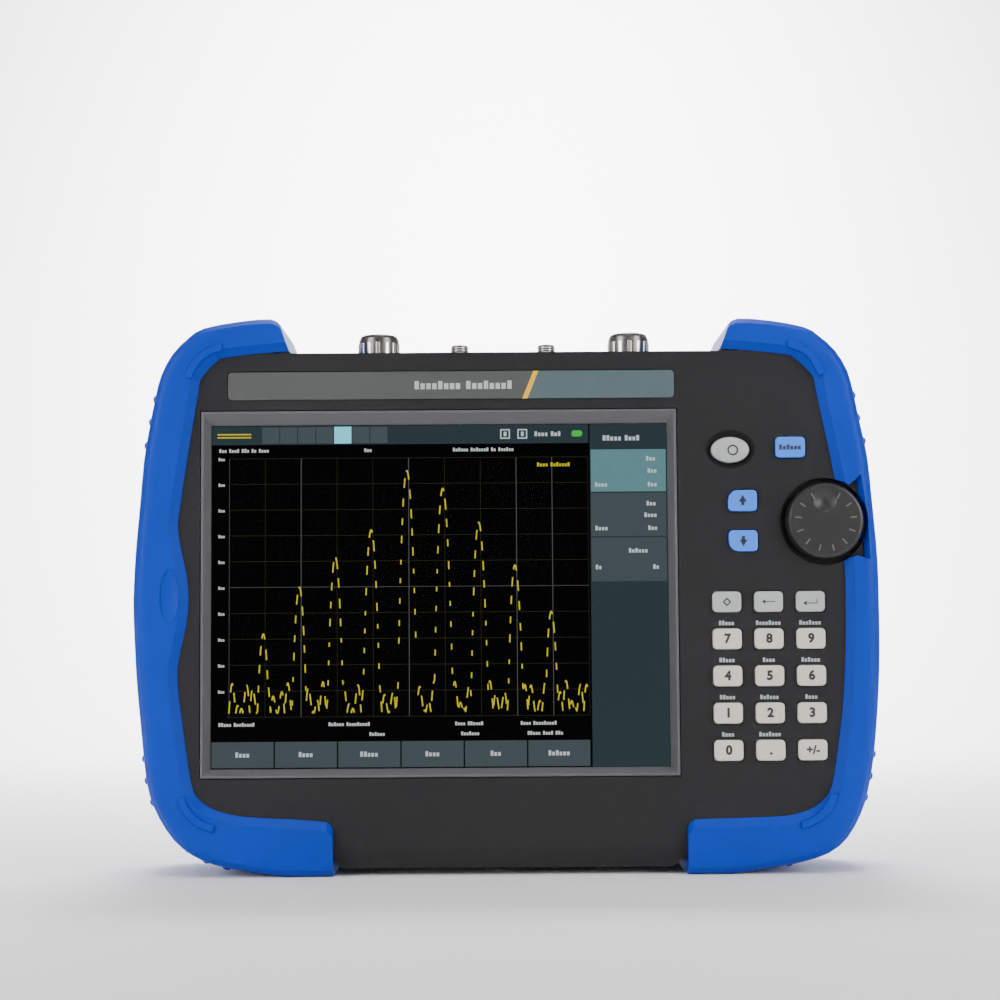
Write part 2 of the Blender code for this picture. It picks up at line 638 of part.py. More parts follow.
def make_stand_pin(name, side, material):
    """Pivot pin at one side of the stand."""
    reach = STAND_BAR / 2 + 4.0
    bm = bmesh.new()
    centre = (side * (STAND_X - STAND_BAR / 2), pin_y(), STAND_TOP_Z)
    lathe(bm, [(0, -reach), (STAND_PIN_R, -reach), (STAND_PIN_R, reach), (0, reach)], centre, "X", 16)
    return add_object(name, bm, material)


def screw_places():
    """Centres of the four case screws."""
    return [(x, z) for z in SCREW_Z for x in (-SCREW_X, SCREW_X)]


def make_case_screw(name, x, z, material):
    """Pan-head case screw with a hexagon socket, seen at the bottom of its counterbore."""
    bm = bmesh.new()
    profile = [(0, 22.8), (SCREW_R - 0.1, 22.8), (SCREW_R, 24.6), (SCREW_R - 0.7, 25.2), (0, 25.2)]
    lathe(bm, profile, (x, 0, z), "Y", 20)
    screw = add_object(name, bm, material)
    bm = bmesh.new()
    prism_y(bm, disc_outline(x, z, 1.3, 6), 23.8, 26)
    cut(screw, bm, "socket")
    return screw


def door_hinge():
    """Centre of the side door's hinge axis in plan."""
    return -DOOR_X, DOOR_Y[1] - DOOR_T / 2


def make_port_cover(material):
    """Side door over the sockets, rounded about its hinge at the rear edge."""
    hinge_x, hinge_y = door_hinge()
    outline = [(hinge_x - DOOR_T / 2, DOOR_Y[0]), (hinge_x + DOOR_T / 2, DOOR_Y[0])]
    for k in range(9):
        angle = math.pi * k / 8
        outline.append((hinge_x + DOOR_T / 2 * math.cos(angle), hinge_y + DOOR_T / 2 * math.sin(angle)))
    bm = bmesh.new()
    low = [bm.verts.new((x, y, DOOR_Z[0])) for x, y in outline]
    high = [bm.verts.new((x, y, DOOR_Z[1])) for x, y in outline]
    bm.faces.new(low[::-1])
    bm.faces.new(high)
    for i in range(len(low)):
        j = (i + 1) % len(low)
        bm.faces.new((low[i], low[j], high[j], high[i]))
    return add_object("port_cover", bm, material, pivot=(hinge_x, hinge_y, 0))


def make_dc_inlet(material):
    """Round power inlet, its mouth facing out of the side."""
    bm = bmesh.new()
    lathe(bm, [(0, -113), (5, -113), (5, -125), (2.9, -125), (2.9, -116), (0, -116)], (0, 5, 110), "X", 24)
    return add_object("dc_inlet", bm, material)


def make_usb_port(material):
    """Rectangular data socket with its tongue, its mouth facing out of the side."""
    bm = bmesh.new()
    box(bm, -125, -112, 2.0, 9.2, 74.0, 87.5)
    socket = add_object("usb_port", bm, material)
    bm = bmesh.new()
    box(bm, -127, -114, 2.8, 7.2, 74.6, 86.9)
    cut(socket, bm, "mouth")
    return socket


def main():
    """Clear the scene and build every piece."""
    for old in list(bpy.data.objects):
        bpy.data.objects.remove(old, do_unlink=True)

    casing = make_material("casing_grey", (0.048, 0.048, 0.052), 0.5)
    rubber = make_material("bumper_blue", (0.004, 0.10, 0.47), 0.55)
    surround = make_material("surround_grey", (0.14, 0.14, 0.145), 0.45)
    glass = make_material("screen_glass", (0.05, 0.07, 0.08), 0.05)
    dark = make_material("dark_plastic", (0.03, 0.03, 0.03), 0.5)
    plate = make_material("plate_grey", (0.13, 0.14, 0.14), 0.35)
    silver = make_material("silver_key", (0.42, 0.45, 0.45), 0.4)
    warm = make_material("warm_key", (0.56, 0.54, 0.49), 0.45)
    blue = make_material("blue_key", (0.16, 0.36, 0.66), 0.4)
    nickel = make_material("nickel", (0.6, 0.58, 0.54), 0.25, 1.0)
    board = make_material("board_green", (0.02, 0.16, 0.07), 0.5)
    cell = make_material("battery_wrap", (0.02, 0.03, 0.05), 0.4)
    button_finish = {"power_button": silver, "preset_key": blue, "up_key": blue, "down_key": blue}
    top_row = ("key_clear", "key_backspace", "key_enter")

    make_front_shell(casing)
    make_rear_shell(casing)
    make_left_bumper(rubber)
    make_right_bumper(rubber)
    make_display_surround(surround)
    view = rounded_outline(SCREEN_X, SCREEN_Z, SCREEN_W + 4.4, SCREEN_H + 4.4, 0)
    make_slab("window_glass", view, -20.4, -19.4, glass)
    body = rounded_outline(SCREEN_X, SCREEN_Z, SCREEN_W + 5, SCREEN_H + 6, 0)
    make_slab("lcd_module", body, -19.1, -12.5, dark)
    make_slab("name_plate", rounded_outline(-19.1, 172.45, 158.2, 9.9, 1.3), FACE_Y + 0.02, FACE_Y + 0.6, plate)
    for name, x, z, outline in button_shapes():
        finish = button_finish.get(name, silver if name in top_row else warm)
        make_button(name, x, z, outline, finish)
    make_slab("key_mat", keypad_area(0.6), MAT_Y[0], MAT_Y[1], dark)
    make_slab("keypad_board", keypad_area(0.0), KEY_BOARD_Y[0], KEY_BOARD_Y[1], board)
    make_control_knob(dark)
    make_encoder(nickel)
    make_large_connector("rf_input_connector", LARGE_CONNECTOR_X[0], nickel)
    make_large_connector("tracking_output_connector", LARGE_CONNECTOR_X[1], nickel)
    make_small_connector("reference_input_connector", SMALL_CONNECTOR_X[0], nickel)
    make_small_connector("trigger_input_connector", SMALL_CONNECTOR_X[1], nickel)
    make_slab("main_board", rounded_outline(0, 92, 206, 148, 2), -7.0, -5.4, board)
    make_slab("rf_module", rounded_outline(0, 139, 140, 38, 1.5), -5.0, 14.0, nickel)
    make_slab("battery_pack", rounded_outline(0, BATTERY_Z, 112, 62, 3), 0.5, 22.0, cell)
    make_slab("battery_cover", rounded_outline(0, BATTERY_Z, 116, 66, 3), 22.4, BACK_Y, casing)
    make_kickstand(dark)
    make_stand_pin("left_stand_pin", -1, nickel)
    make_stand_pin("right_stand_pin", 1, nickel)
    make_port_cover(dark)
    make_dc_inlet(dark)
    make_usb_port(nickel)
    for index, (x, z) in enumerate(screw_places()):
        make_case_screw(f"case_screw_{index + 1}", x, z, nickel)


main()
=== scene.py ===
"""Handheld spectrum analyzer: finished surfaces, printed marks, lit display and studio stage.

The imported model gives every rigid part. This script lays out the finish as a Blender add-on with
one operator for each group of pieces. Lengths are in millimetres and become metres through MM.
"""

import json
import math

import bpy
from bpy.props import FloatProperty, FloatVectorProperty, PointerProperty
from mathutils import Euler, Matrix, Vector

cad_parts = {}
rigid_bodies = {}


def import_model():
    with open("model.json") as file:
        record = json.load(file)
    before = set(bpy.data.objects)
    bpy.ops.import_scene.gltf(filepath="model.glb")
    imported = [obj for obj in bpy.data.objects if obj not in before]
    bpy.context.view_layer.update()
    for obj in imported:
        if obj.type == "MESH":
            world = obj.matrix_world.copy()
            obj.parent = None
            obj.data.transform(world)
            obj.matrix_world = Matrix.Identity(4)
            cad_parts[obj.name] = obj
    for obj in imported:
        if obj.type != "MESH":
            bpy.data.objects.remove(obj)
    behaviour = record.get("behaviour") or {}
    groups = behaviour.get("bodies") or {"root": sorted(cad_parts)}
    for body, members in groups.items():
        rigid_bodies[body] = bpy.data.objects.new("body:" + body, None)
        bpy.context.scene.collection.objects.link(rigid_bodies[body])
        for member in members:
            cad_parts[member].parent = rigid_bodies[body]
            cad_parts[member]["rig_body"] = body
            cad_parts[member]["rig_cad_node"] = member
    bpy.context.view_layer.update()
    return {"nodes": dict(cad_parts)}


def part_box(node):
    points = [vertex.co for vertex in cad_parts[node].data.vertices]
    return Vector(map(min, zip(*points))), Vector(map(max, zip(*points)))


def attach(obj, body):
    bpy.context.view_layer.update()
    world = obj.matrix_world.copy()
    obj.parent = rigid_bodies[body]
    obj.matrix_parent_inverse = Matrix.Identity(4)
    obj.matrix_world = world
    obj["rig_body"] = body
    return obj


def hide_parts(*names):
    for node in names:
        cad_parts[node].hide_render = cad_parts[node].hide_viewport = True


bl_info = {
    "name": "Handheld Spectrum Analyzer",
    "version": (1, 0, 0),
    "blender": (4, 5, 0),
    "location": "View3D > Sidebar > Analyzer",
    "description": "Finishes a handheld spectrum analyzer and sets its studio stage",
    "category": "Object",
}

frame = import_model()
MM = 0.001
THIN = 0.03                     # thickness of a printed mark
WELD = 0.005 * MM               # corners closer than this are one corner
TO_FRONT = (math.pi / 2, 0, 0)  # turns a flat or round primitive to face the user

DIGIT_KEYS = ["7", "8", "9", "4", "5", "6", "1", "2", "3", "0"]
KEYPAD = ["clear", "backspace", "enter", *DIGIT_KEYS, "point", "sign"]
BUTTONS = ["power_button", "preset_key", "up_key", "down_key"] + [f"key_{name}" for name in KEYPAD]


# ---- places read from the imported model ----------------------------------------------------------
def span(node):
    """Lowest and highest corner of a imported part, in millimetres."""
    low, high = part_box(node)
    return low / MM, high / MM


def centre(node):
    """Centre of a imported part, in millimetres."""
    low, high = span(node)
    return (low + high) / 2


def outer_x(side, z):
    """Half width of one bumper's side at a height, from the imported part's own corners."""
    row_y, row_reach, inmost_x = 0.025, 0.0003, 0.105
    mesh = frame["nodes"]["left_bumper" if side < 0 else "right_bumper"].data
    corners = sorted((v.co.z / MM, abs(v.co.x) / MM) for v in mesh.vertices
                     if abs(v.co.y - row_y) < row_reach and abs(v.co.x) > inmost_x)
    below = max(corner for corner in corners if corner[0] < z)
    above = min(corner for corner in corners if corner[0] >= z)
    share = (z - below[0]) / (above[0] - below[0])
    return below[1] + (above[1] - below[1]) * share


# ---- selection and shaping helpers --------------------------------------------------------------
def select_only(*items):
    """Select these objects alone, with the last one active."""
    bpy.ops.object.select_all(action="DESELECT")
    for item in items:
        item.select_set(True)
    bpy.context.view_layer.objects.active = items[-1]


def settle(piece):
    """Write a piece's place, turn and scale into its mesh."""
    select_only(piece)
    bpy.ops.object.transform_apply(location=True, rotation=True, scale=True)


def set_down(piece, place=(0, 0, 0), turn=(0, 0, 0), scale=(1, 1, 1)):
    """Scale, turn and then place a settled piece, and write that into its mesh."""
    piece.scale = scale
    piece.rotation_euler = Euler(turn)
    piece.location = Vector(place) * MM
    settle(piece)


def primitive(kind, place=(0, 0, 0), **shape):
    """Add a primitive at a place in millimetres, with nothing else selected."""
    bpy.ops.object.select_all(action="DESELECT")
    getattr(bpy.ops.mesh, f"primitive_{kind}_add")(location=Vector(place) * MM, **shape)
    return bpy.context.object


def open_mesh(piece):
    """Start editing one piece's mesh with all of it selected."""
    select_only(piece)
    bpy.ops.object.mode_set(mode="EDIT")
    bpy.ops.mesh.select_all(action="SELECT")


def close_mesh():
    """Stop editing the mesh."""
    bpy.ops.object.mode_set(mode="OBJECT")


def point_outwards(piece):
    """Turn every face of a closed piece outwards."""
    open_mesh(piece)
    bpy.ops.mesh.normals_make_consistent(inside=False)
    close_mesh()


def finish(piece, name, body, finish_slot, material):
    """Name a finished piece, give it its material and let it move with its body."""
    piece.name = name
    settle(piece)
    piece.data.materials.clear()
    piece.data.materials.append(material)
    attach(piece, body)
    return piece


def smooth(piece, angle=30):
    """Shade a piece smooth except over sharp edges."""
    select_only(piece)
    bpy.ops.object.shade_smooth_by_angle(angle=math.radians(angle))
    even = piece.modifiers.new("even_normals", "WEIGHTED_NORMAL")
    even.keep_sharp = True
    even.weight = 80
    bpy.ops.object.modifier_apply(modifier=even.name)


def soften(piece, width, segments=2, angle=30):
    """Round every edge sharper than angle, and apply the rounding."""
    select_only(piece)
    bevel = piece.modifiers.new("soft_edges", "BEVEL")
    bevel.width = width * MM
    bevel.segments = segments
    bevel.limit_method = "ANGLE"
    bevel.angle_limit = math.radians(angle)
    bevel.harden_normals = False
    bpy.ops.object.modifier_apply(modifier=bevel.name)


def refined(node, width, segments=2, angle=30, shade=30):
    """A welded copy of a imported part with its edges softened; it stands for that part."""
    source = frame["nodes"][node]
    piece = source.copy()
    piece.data = source.data.copy()
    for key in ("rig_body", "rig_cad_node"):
        if key in piece:
            del piece[key]
    piece.parent = None
    piece.name = f"{node}_finished"
    bpy.context.scene.collection.objects.link(piece)
    open_mesh(piece)
    bpy.ops.mesh.remove_doubles(threshold=WELD)
    bpy.ops.mesh.dissolve_limited(angle_limit=math.radians(0.5))
    close_mesh()
    soften(piece, width, segments, angle)
    smooth(piece, shade)
    return piece


def stand_in(node, body, finish_slot, material, **shape):
    """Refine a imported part, dress it and hide the original behind it."""
    piece = refined(node, **shape)
    finish(piece, f"{node}_finished", body, finish_slot, material)
    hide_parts(node)
    return piece


def block(low, high):
    """A box between two corners in millimetres, from a cube primitive."""
    low, high = Vector(low), Vector(high)
    piece = primitive("cube", (low + high) / 2, size=1)
    piece.scale = (high - low) * MM
    settle(piece)
    return piece


def block_group(corners):
    """One object of many small blocks, each a copy of the first, joined."""
    first = block((-0.5, -0.5, -0.5), (0.5, 0.5, 0.5))
    copies = []
    for low, high in corners:
        low, high = Vector(low), Vector(high)
        copy = first.copy()
        copy.data = first.data.copy()
        copy.location = (low + high) / 2 * MM
        copy.scale = high - low
        bpy.context.scene.collection.objects.link(copy)
        copies.append(copy)
    bpy.data.objects.remove(first)
    select_only(*copies)
    bpy.ops.object.transform_apply(location=True, rotation=True, scale=True)
    bpy.ops.object.join()
    return bpy.context.object


def joined(pieces):
    """Join several objects into one."""
    select_only(*pieces)
    bpy.ops.object.join()
    return bpy.context.object


def joined_smooth(pieces, angle, *label):
    """Join like pieces, shade them smooth and finish them as one."""
    group = joined(pieces)
    smooth(group, angle)
    return finish(group, *label)


def lettering(text, x, y, z, height, thickness=0.04, bold=0.0):
    """Raised figures facing the user, centred on a point, as a mesh."""
    figure_share = 1.38         # type size for each millimetre of a figure's own height
    bpy.ops.object.select_all(action="DESELECT")
    bpy.ops.object.text_add(location=(0, 0, 0))
    letters = bpy.context.object
    letters.data.body = text
    letters.data.align_x = "CENTER"
    letters.data.align_y = "CENTER"
    letters.data.size = height * figure_share * MM
    letters.data.extrude = thickness / 2 * MM
    letters.data.offset = bold * MM
    letters.data.resolution_u = 3
    bpy.ops.object.convert(target="MESH")
    letters = bpy.context.object
    set_down(letters, (x, y, z), TO_FRONT)
    return letters


def ring(x, y, z, radius, tube, sides=32, section=8):
    """A ring facing the user."""
    piece = primitive("torus", (x, y, z), rotation=TO_FRONT, major_segments=sides,
                      minor_segments=section, major_radius=radius * MM, minor_radius=tube * MM)
    settle(piece)
    return piece


def wedge(x, y, z, radius, thickness, turn):
    """A flat triangle facing the user, its tip turned by an angle from upwards."""
    piece = primitive("cylinder", (x, y, z), vertices=3, radius=radius * MM, depth=thickness * MM)
    piece.rotation_euler = Euler((math.pi / 2, turn, 0))
    settle(piece)
    return piece


def ribbon(points, radius, flatness):
    """A thin line through points in millimetres, as a mesh; flatness is its depth to its width."""
    data = bpy.data.curves.new("line", "CURVE")
    data.dimensions = "3D"
    line = data.splines.new("POLY")
    line.points.add(len(points) - 1)
    for point, place in zip(line.points, points):
        point.co = (*(Vector(place) * MM), 1.0)
    data.bevel_depth = radius * MM
    data.bevel_resolution = 1
    data.use_fill_caps = True
    piece = bpy.data.objects.new("line", data)
    bpy.context.scene.collection.objects.link(piece)
    select_only(piece)
    bpy.ops.object.convert(target="MESH")
    piece = bpy.context.object
    set_down(piece, (0, points[0][1] * (1 - flatness), 0), scale=(1, flatness, 1))
    return piece


def word_blocks(x, y, z, height, lengths, face=THIN, centred=True):
    """Blocks that read as small print: one narrow block for each letter, with no real letters."""
    letter, between, space, short = height * 0.52, height * 0.2, height * 0.55, height * 0.72
    total = sum(lengths) * (letter + between) + (len(lengths) - 1) * space
    at, foot = x - total / 2 if centred else x, z - height / 2
    blocks = []
    for w, count in enumerate(lengths):
        for k in range(count):
            tall = height if k == 0 or (k * 7 + w * 3 + count) % 4 == 0 else short
            blocks.append(((at, y - face, foot), (at + letter, y, foot + tall)))
            at += letter + between
        at += space
    return blocks


# ---- shader nodes and groups --------------------------------------------------------------------
def feed(tree, node, inputs):
    """Give each named input a plain value, or link it to another node's output."""
    for name, value in inputs.items():
        if isinstance(value, bpy.types.NodeSocket):
            tree.links.new(value, node.inputs[name])
        else:
            node.inputs[name].default_value = value


def add_node(tree, kind, inputs=None, **properties):
    """Add a shader node with its properties set and its inputs fed."""
    node = tree.nodes.new(f"ShaderNode{kind}")
    for name, value in properties.items():
        setattr(node, name, value)
    feed(tree, node, inputs or {})
    return node


def mix_colors(tree, factor, first, second):
    """The colour between two others at a share."""
    node = add_node(tree, "Mix", {"Factor": factor, "A": first, "B": second}, data_type="RGBA")
    return node.outputs["Result"]


def new_group(name, inputs):
    """An empty shader group that puts out colour, roughness and normal, with its two end nodes.

    Each input is given as its kind, its default, and its lowest and highest value.
    """
    tree = bpy.data.node_groups.new(name, "ShaderNodeTree")
    for label, (kind, *values) in inputs.items():
        socket = tree.interface.new_socket(name=label, in_out="INPUT", socket_type=f"NodeSocket{kind}")
        if values:
            socket.default_value = values[0]
        if len(values) > 1:
            socket.min_value, socket.max_value = values[1:]
    for label, kind in (("Color", "Color"), ("Roughness", "Float"), ("Normal", "Vector")):
        tree.interface.new_socket(name=label, in_out="OUTPUT", socket_type=f"NodeSocket{kind}")
    return tree, tree.nodes.new("NodeGroupInput").outputs, tree.nodes.new("NodeGroupOutput")


def moulded_group():
    """Moulded surface: slow colour drift, fine grain and scuffs, from an object-space vector."""
    if "moulded_surface" in bpy.data.node_groups:
        return bpy.data.node_groups["moulded_surface"]
    tree, source, result = new_group("moulded_surface", {
        "Vector": ("Vector",),
        "Color": ("Color", (0.5, 0.5, 0.5, 1)),
        "Scuff Color": ("Color", (0.6, 0.6, 0.6, 1)),
        "Drift": ("Float", 0.08, 0, 1),
        "Scuffs": ("Float", 0.1, 0, 1),
        "Roughness": ("Float", 0.5, 0, 1),
        "Spread": ("Float", 0.08, 0, 1),
        "Grain Scale": ("Float", 1800.0, 0, 1e5),
        "Grain Height": ("Float", 0.3, 0, 2),
    })
    drift = add_node(tree, "TexNoise", {"Vector": source["Vector"], "Scale": 22.0, "Detail": 3.0})
    shift = add_node(tree, "MapRange", {
        "Value": drift.outputs["Fac"], "From Min": 0.3, "From Max": 0.7, "To Min": -1.0, "To Max": 1.0})
    amount = add_node(tree, "Math", {0: shift.outputs["Result"], 1: source["Drift"], 2: 1.0},
                      operation="MULTIPLY_ADD")
    tint = add_node(tree, "VectorMath", {0: source["Color"], "Scale": amount.outputs[0]},
                    operation="SCALE")
    streak = add_node(tree, "TexNoise", {
        "Vector": source["Vector"], "Scale": 95.0, "Detail": 6.0, "Roughness": 0.7})
    worn = add_node(tree, "MapRange", {
        "Value": streak.outputs["Fac"], "From Min": 0.6, "From Max": 0.78})
    share = add_node(tree, "Math", {0: worn.outputs["Result"], 1: source["Scuffs"]},
                     operation="MULTIPLY")
    gloss = add_node(tree, "Math", {
        0: shift.outputs["Result"], 1: source["Spread"], 2: source["Roughness"]},
        operation="MULTIPLY_ADD")
    grain = add_node(tree, "TexVoronoi", {"Vector": source["Vector"], "Scale": source["Grain Scale"]})
    bump = add_node(tree, "Bump", {
        "Distance": 0.00005, "Strength": source["Grain Height"], "Height": grain.outputs["Distance"]})
    feed(tree, result, {
        "Color": mix_colors(tree, share.outputs[0], tint.outputs["Vector"], source["Scuff Color"]),
        "Roughness": gloss.outputs[0],
        "Normal": bump.outputs["Normal"],
    })
    return tree


def brushed_group():
    """Drawn or turned metal: fine lines across the stretched direction, with soft tarnish."""
    if "brushed_metal" in bpy.data.node_groups:
        return bpy.data.node_groups["brushed_metal"]
    tree, source, result = new_group("brushed_metal", {
        "Vector": ("Vector",),
        "Color": ("Color", (0.6, 0.6, 0.6, 1)),
        "Tarnish Color": ("Color", (0.3, 0.28, 0.25, 1)),
        "Tarnish": ("Float", 0.3, 0, 1),
        "Roughness": ("Float", 0.25, 0, 1),
        "Line Height": ("Float", 0.2, 0, 2),
    })
    stretch = add_node(tree, "VectorMath", {0: source["Vector"], 1: (60, 60, 3000)},
                       operation="MULTIPLY")
    lines = add_node(tree, "TexNoise", {
        "Vector": stretch.outputs["Vector"], "Scale": 1.0, "Detail": 4.0})
    cloud = add_node(tree, "TexNoise", {"Vector": source["Vector"], "Scale": 160.0, "Detail": 5.0})
    patch = add_node(tree, "MapRange", {
        "Value": cloud.outputs["Fac"], "From Min": 0.45, "From Max": 0.75})
    share = add_node(tree, "Math", {0: patch.outputs["Result"], 1: source["Tarnish"]},
                     operation="MULTIPLY")
    gloss = add_node(tree, "Math", {0: cloud.outputs["Fac"], 1: 0.15, 2: source["Roughness"]},
                     operation="MULTIPLY_ADD")
    bump = add_node(tree, "Bump", {
        "Distance": 0.00003, "Strength": source["Line Height"], "Height": lines.outputs["Fac"]})
    feed(tree, result, {
        "Color": mix_colors(tree, share.outputs[0], source["Color"], source["Tarnish Color"]),
        "Roughness": gloss.outputs[0],
        "Normal": bump.outputs["Normal"],
    })
    return tree


# ---- materials ----------------------------------------------------------------------------------
def fresh_material(name):
    """A new node material with its shader and an object-space vector, or None if it exists."""
    full_name = f"analyzer_{name}"
    if full_name in bpy.data.materials:
        return bpy.data.materials[full_name], None, None
    material = bpy.data.materials.new(full_name)
    material.use_nodes = True
    place = material.node_tree.nodes.new("ShaderNodeTexCoord")
    return material, material.node_tree.nodes["Principled BSDF"], place.outputs["Object"]


def surface(tree, shader, group, inputs):
    """Take a shader's colour, roughness and normal from a group with these inputs."""
    skin = add_node(tree, "Group", inputs, node_tree=group)
    feed(tree, shader, {
        "Base Color": skin.outputs["Color"],
        "Roughness": skin.outputs["Roughness"],
        "Normal": skin.outputs["Normal"],
    })


def moulded(name, color, roughness=0.5, drift=0.06, scuffs=0.06, scuff_color=None, grain=2200.0,
            height=0.25, spread=0.05, specular=0.5):
    """Moulded plastic or rubber with grain, colour drift and light scuffs."""
    material, shader, place = fresh_material(name)
    if shader is None:
        return material
    lighter = scuff_color or tuple(min(c * 1.7 + 0.02, 1) for c in color)
    surface(material.node_tree, shader, moulded_group(), {
        "Vector": place, "Color": (*color, 1), "Scuff Color": (*lighter, 1), "Drift": drift,
        "Scuffs": scuffs, "Roughness": roughness, "Spread": spread, "Grain Scale": grain,
        "Grain Height": height})
    shader.inputs["Specular IOR Level"].default_value = specular
    return material


def metal(name, color, roughness=0.22, tarnish=0.25, line_height=0.2):
    """Plated or drawn metal."""
    material, shader, place = fresh_material(name)
    if shader is None:
        return material
    surface(material.node_tree, shader, brushed_group(), {
        "Vector": place, "Color": (*color, 1), "Tarnish Color": (*(c * 0.55 for c in color), 1),
        "Tarnish": tarnish, "Roughness": roughness, "Line Height": line_height})
    shader.inputs["Metallic"].default_value = 1.0
    return material


def lit(name, color, strength, variation):
    """A lit display colour with a faint variation from place to place."""
    material, shader, place = fresh_material(name)
    if shader is None:
        return material
    tree = material.node_tree
    noise = add_node(tree, "TexNoise", {"Vector": place, "Scale": 900.0})
    level = add_node(tree, "MapRange", {
        "Value": noise.outputs["Fac"], "To Min": 1 - variation, "To Max": 1 + variation})
    tone = add_node(tree, "VectorMath", {0: color, "Scale": level.outputs["Result"]},
                    operation="SCALE")
    feed(tree, shader, {
        "Emission Color": tone.outputs["Vector"], "Emission Strength": strength,
        "Base Color": (0.0, 0.0, 0.0, 1), "Roughness": 0.5, "Specular IOR Level": 0.0})
    return material


def cover_glass():
    """Clear screen glass with faint smears in its gloss."""
    material, shader, place = fresh_material("cover_glass")
    if shader is None:
        return material
    tree = material.node_tree
    smear = add_node(tree, "TexNoise", {"Vector": place, "Scale": 30.0, "Detail": 4.0})
    gloss = add_node(tree, "MapRange", {
        "Value": smear.outputs["Fac"], "To Min": 0.02, "To Max": 0.07})
    feed(tree, shader, {
        "Roughness": gloss.outputs["Result"], "Base Color": (0.97, 0.98, 0.98, 1),
        "Transmission Weight": 1.0, "IOR": 1.05})
    return material


def plate_film():
    """Printed name plate: warm grey, a slanted coloured slash, then cool grey."""
    slant, slash_foot, half_slash = -0.41, 7.05, 0.9
    material, shader, place = fresh_material("plate_film")
    if shader is None:
        return material
    colours = bpy.context.scene.analyzer_colours
    low, _ = span("name_plate")
    tree = material.node_tree
    apart = add_node(tree, "SeparateXYZ", {"Vector": place})
    lean = add_node(tree, "Math", {0: apart.outputs["Z"], 1: slant, 2: apart.outputs["X"]},
                    operation="MULTIPLY_ADD")
    slash_at = slash_foot + slant * low.z
    edges = [add_node(tree, "Math", {0: lean.outputs[0], 1: edge * MM}, operation="GREATER_THAN")
             for edge in (slash_at - half_slash, slash_at + half_slash)]
    left = mix_colors(tree, edges[0].outputs[0], (*colours.plate_warm, 1), (*colours.plate_slash, 1))
    whole = mix_colors(tree, edges[1].outputs[0], left, (*colours.plate_cool, 1))
    surface(tree, shader, moulded_group(), {
        "Vector": place, "Color": whole, "Scuff Color": (0.3, 0.32, 0.33, 1), "Drift": 0.05,
        "Scuffs": 0.05, "Roughness": 0.34, "Spread": 0.04, "Grain Scale": 3500.0,
        "Grain Height": 0.12})
    return material


def casing_plastic():
    """Dark casing plastic."""
    colours = bpy.context.scene.analyzer_colours
    return moulded("casing_plastic", colours.casing, roughness=0.46, drift=0.05, scuffs=0.05,
                   grain=2600.0, specular=0.24)


def bumper_rubber():
    """Blue bumper rubber."""
    colours = bpy.context.scene.analyzer_colours
    return moulded("bumper_rubber", colours.bumper, drift=0.05, scuffs=0.07,
                   scuff_color=(0.01, 0.09, 0.55), grain=1500.0, height=0.35, specular=0.2)


def studio_paper():
    """Pale paper of the floor and backdrop."""
    material, shader, place = fresh_material("studio_paper")
    if shader is None:
        return material
    tree = material.node_tree
    drift = add_node(tree, "TexNoise", {"Vector": place, "Scale": 3.0, "Detail": 1.0})
    tone = add_node(tree, "MapRange", {
        "Value": drift.outputs["Fac"], "To Min": 0.90, "To Max": 0.93})
    feed(tree, shader, {
        "Base Color": tone.outputs["Result"], "Roughness": 0.9, "Specular IOR Level": 0.1})
    return material


def print_ink(name, color):
    """Screen-printed ink."""
    return moulded(name, color, roughness=0.55, drift=0.08, scuffs=0.1, grain=4000.0, height=0.15)


# ---- settings -----------------------------------------------------------------------------------
class AnalyzerColours(bpy.types.PropertyGroup):
    """Colours of the analyzer's main finishes."""
    casing: FloatVectorProperty(
        name="Casing", description="Colour of the casing plastic", subtype="COLOR", size=3,
        default=(0.014, 0.014, 0.0152), min=0, max=1)
    bumper: FloatVectorProperty(
        name="Bumper", description="Colour of the bumper rubber", subtype="COLOR", size=3,
        default=(0.0, 0.032, 0.38), min=0, max=1)
    surround: FloatVectorProperty(
        name="Screen Surround", description="Colour of the sloped screen surround", subtype="COLOR",
        size=3, default=(0.082, 0.082, 0.086), min=0, max=1)
    plate_warm: FloatVectorProperty(
        name="Plate Left", description="Colour of the name plate left of its slash", subtype="COLOR",
        size=3, default=(0.062, 0.067, 0.064), min=0, max=1)
    plate_cool: FloatVectorProperty(
        name="Plate Right", description="Colour of the name plate right of its slash",
        subtype="COLOR", size=3, default=(0.068, 0.10, 0.112), min=0, max=1)
    plate_slash: FloatVectorProperty(
        name="Slash", description="Colour of the name plate's slash", subtype="COLOR", size=3,
        default=(0.80, 0.42, 0.01), min=0, max=1)
    key_warm: FloatVectorProperty(
        name="Figure Keys", description="Colour of the figure keys", subtype="COLOR", size=3,
        default=(0.60, 0.565, 0.49), min=0, max=1)
    key_silver: FloatVectorProperty(
        name="Silver Keys", description="Colour of the top row of keys and the power button",
        subtype="COLOR", size=3, default=(0.40, 0.42, 0.42), min=0, max=1)
    key_blue: FloatVectorProperty(
        name="Blue Keys", description="Colour of the preset and arrow keys", subtype="COLOR", size=3,
        default=(0.045, 0.21, 0.85), min=0, max=1)
    trace: FloatVectorProperty(
        name="Trace", description="Colour of the displayed spectrum", subtype="COLOR", size=3,
        default=(0.75, 0.65, 0.01), min=0, max=1)


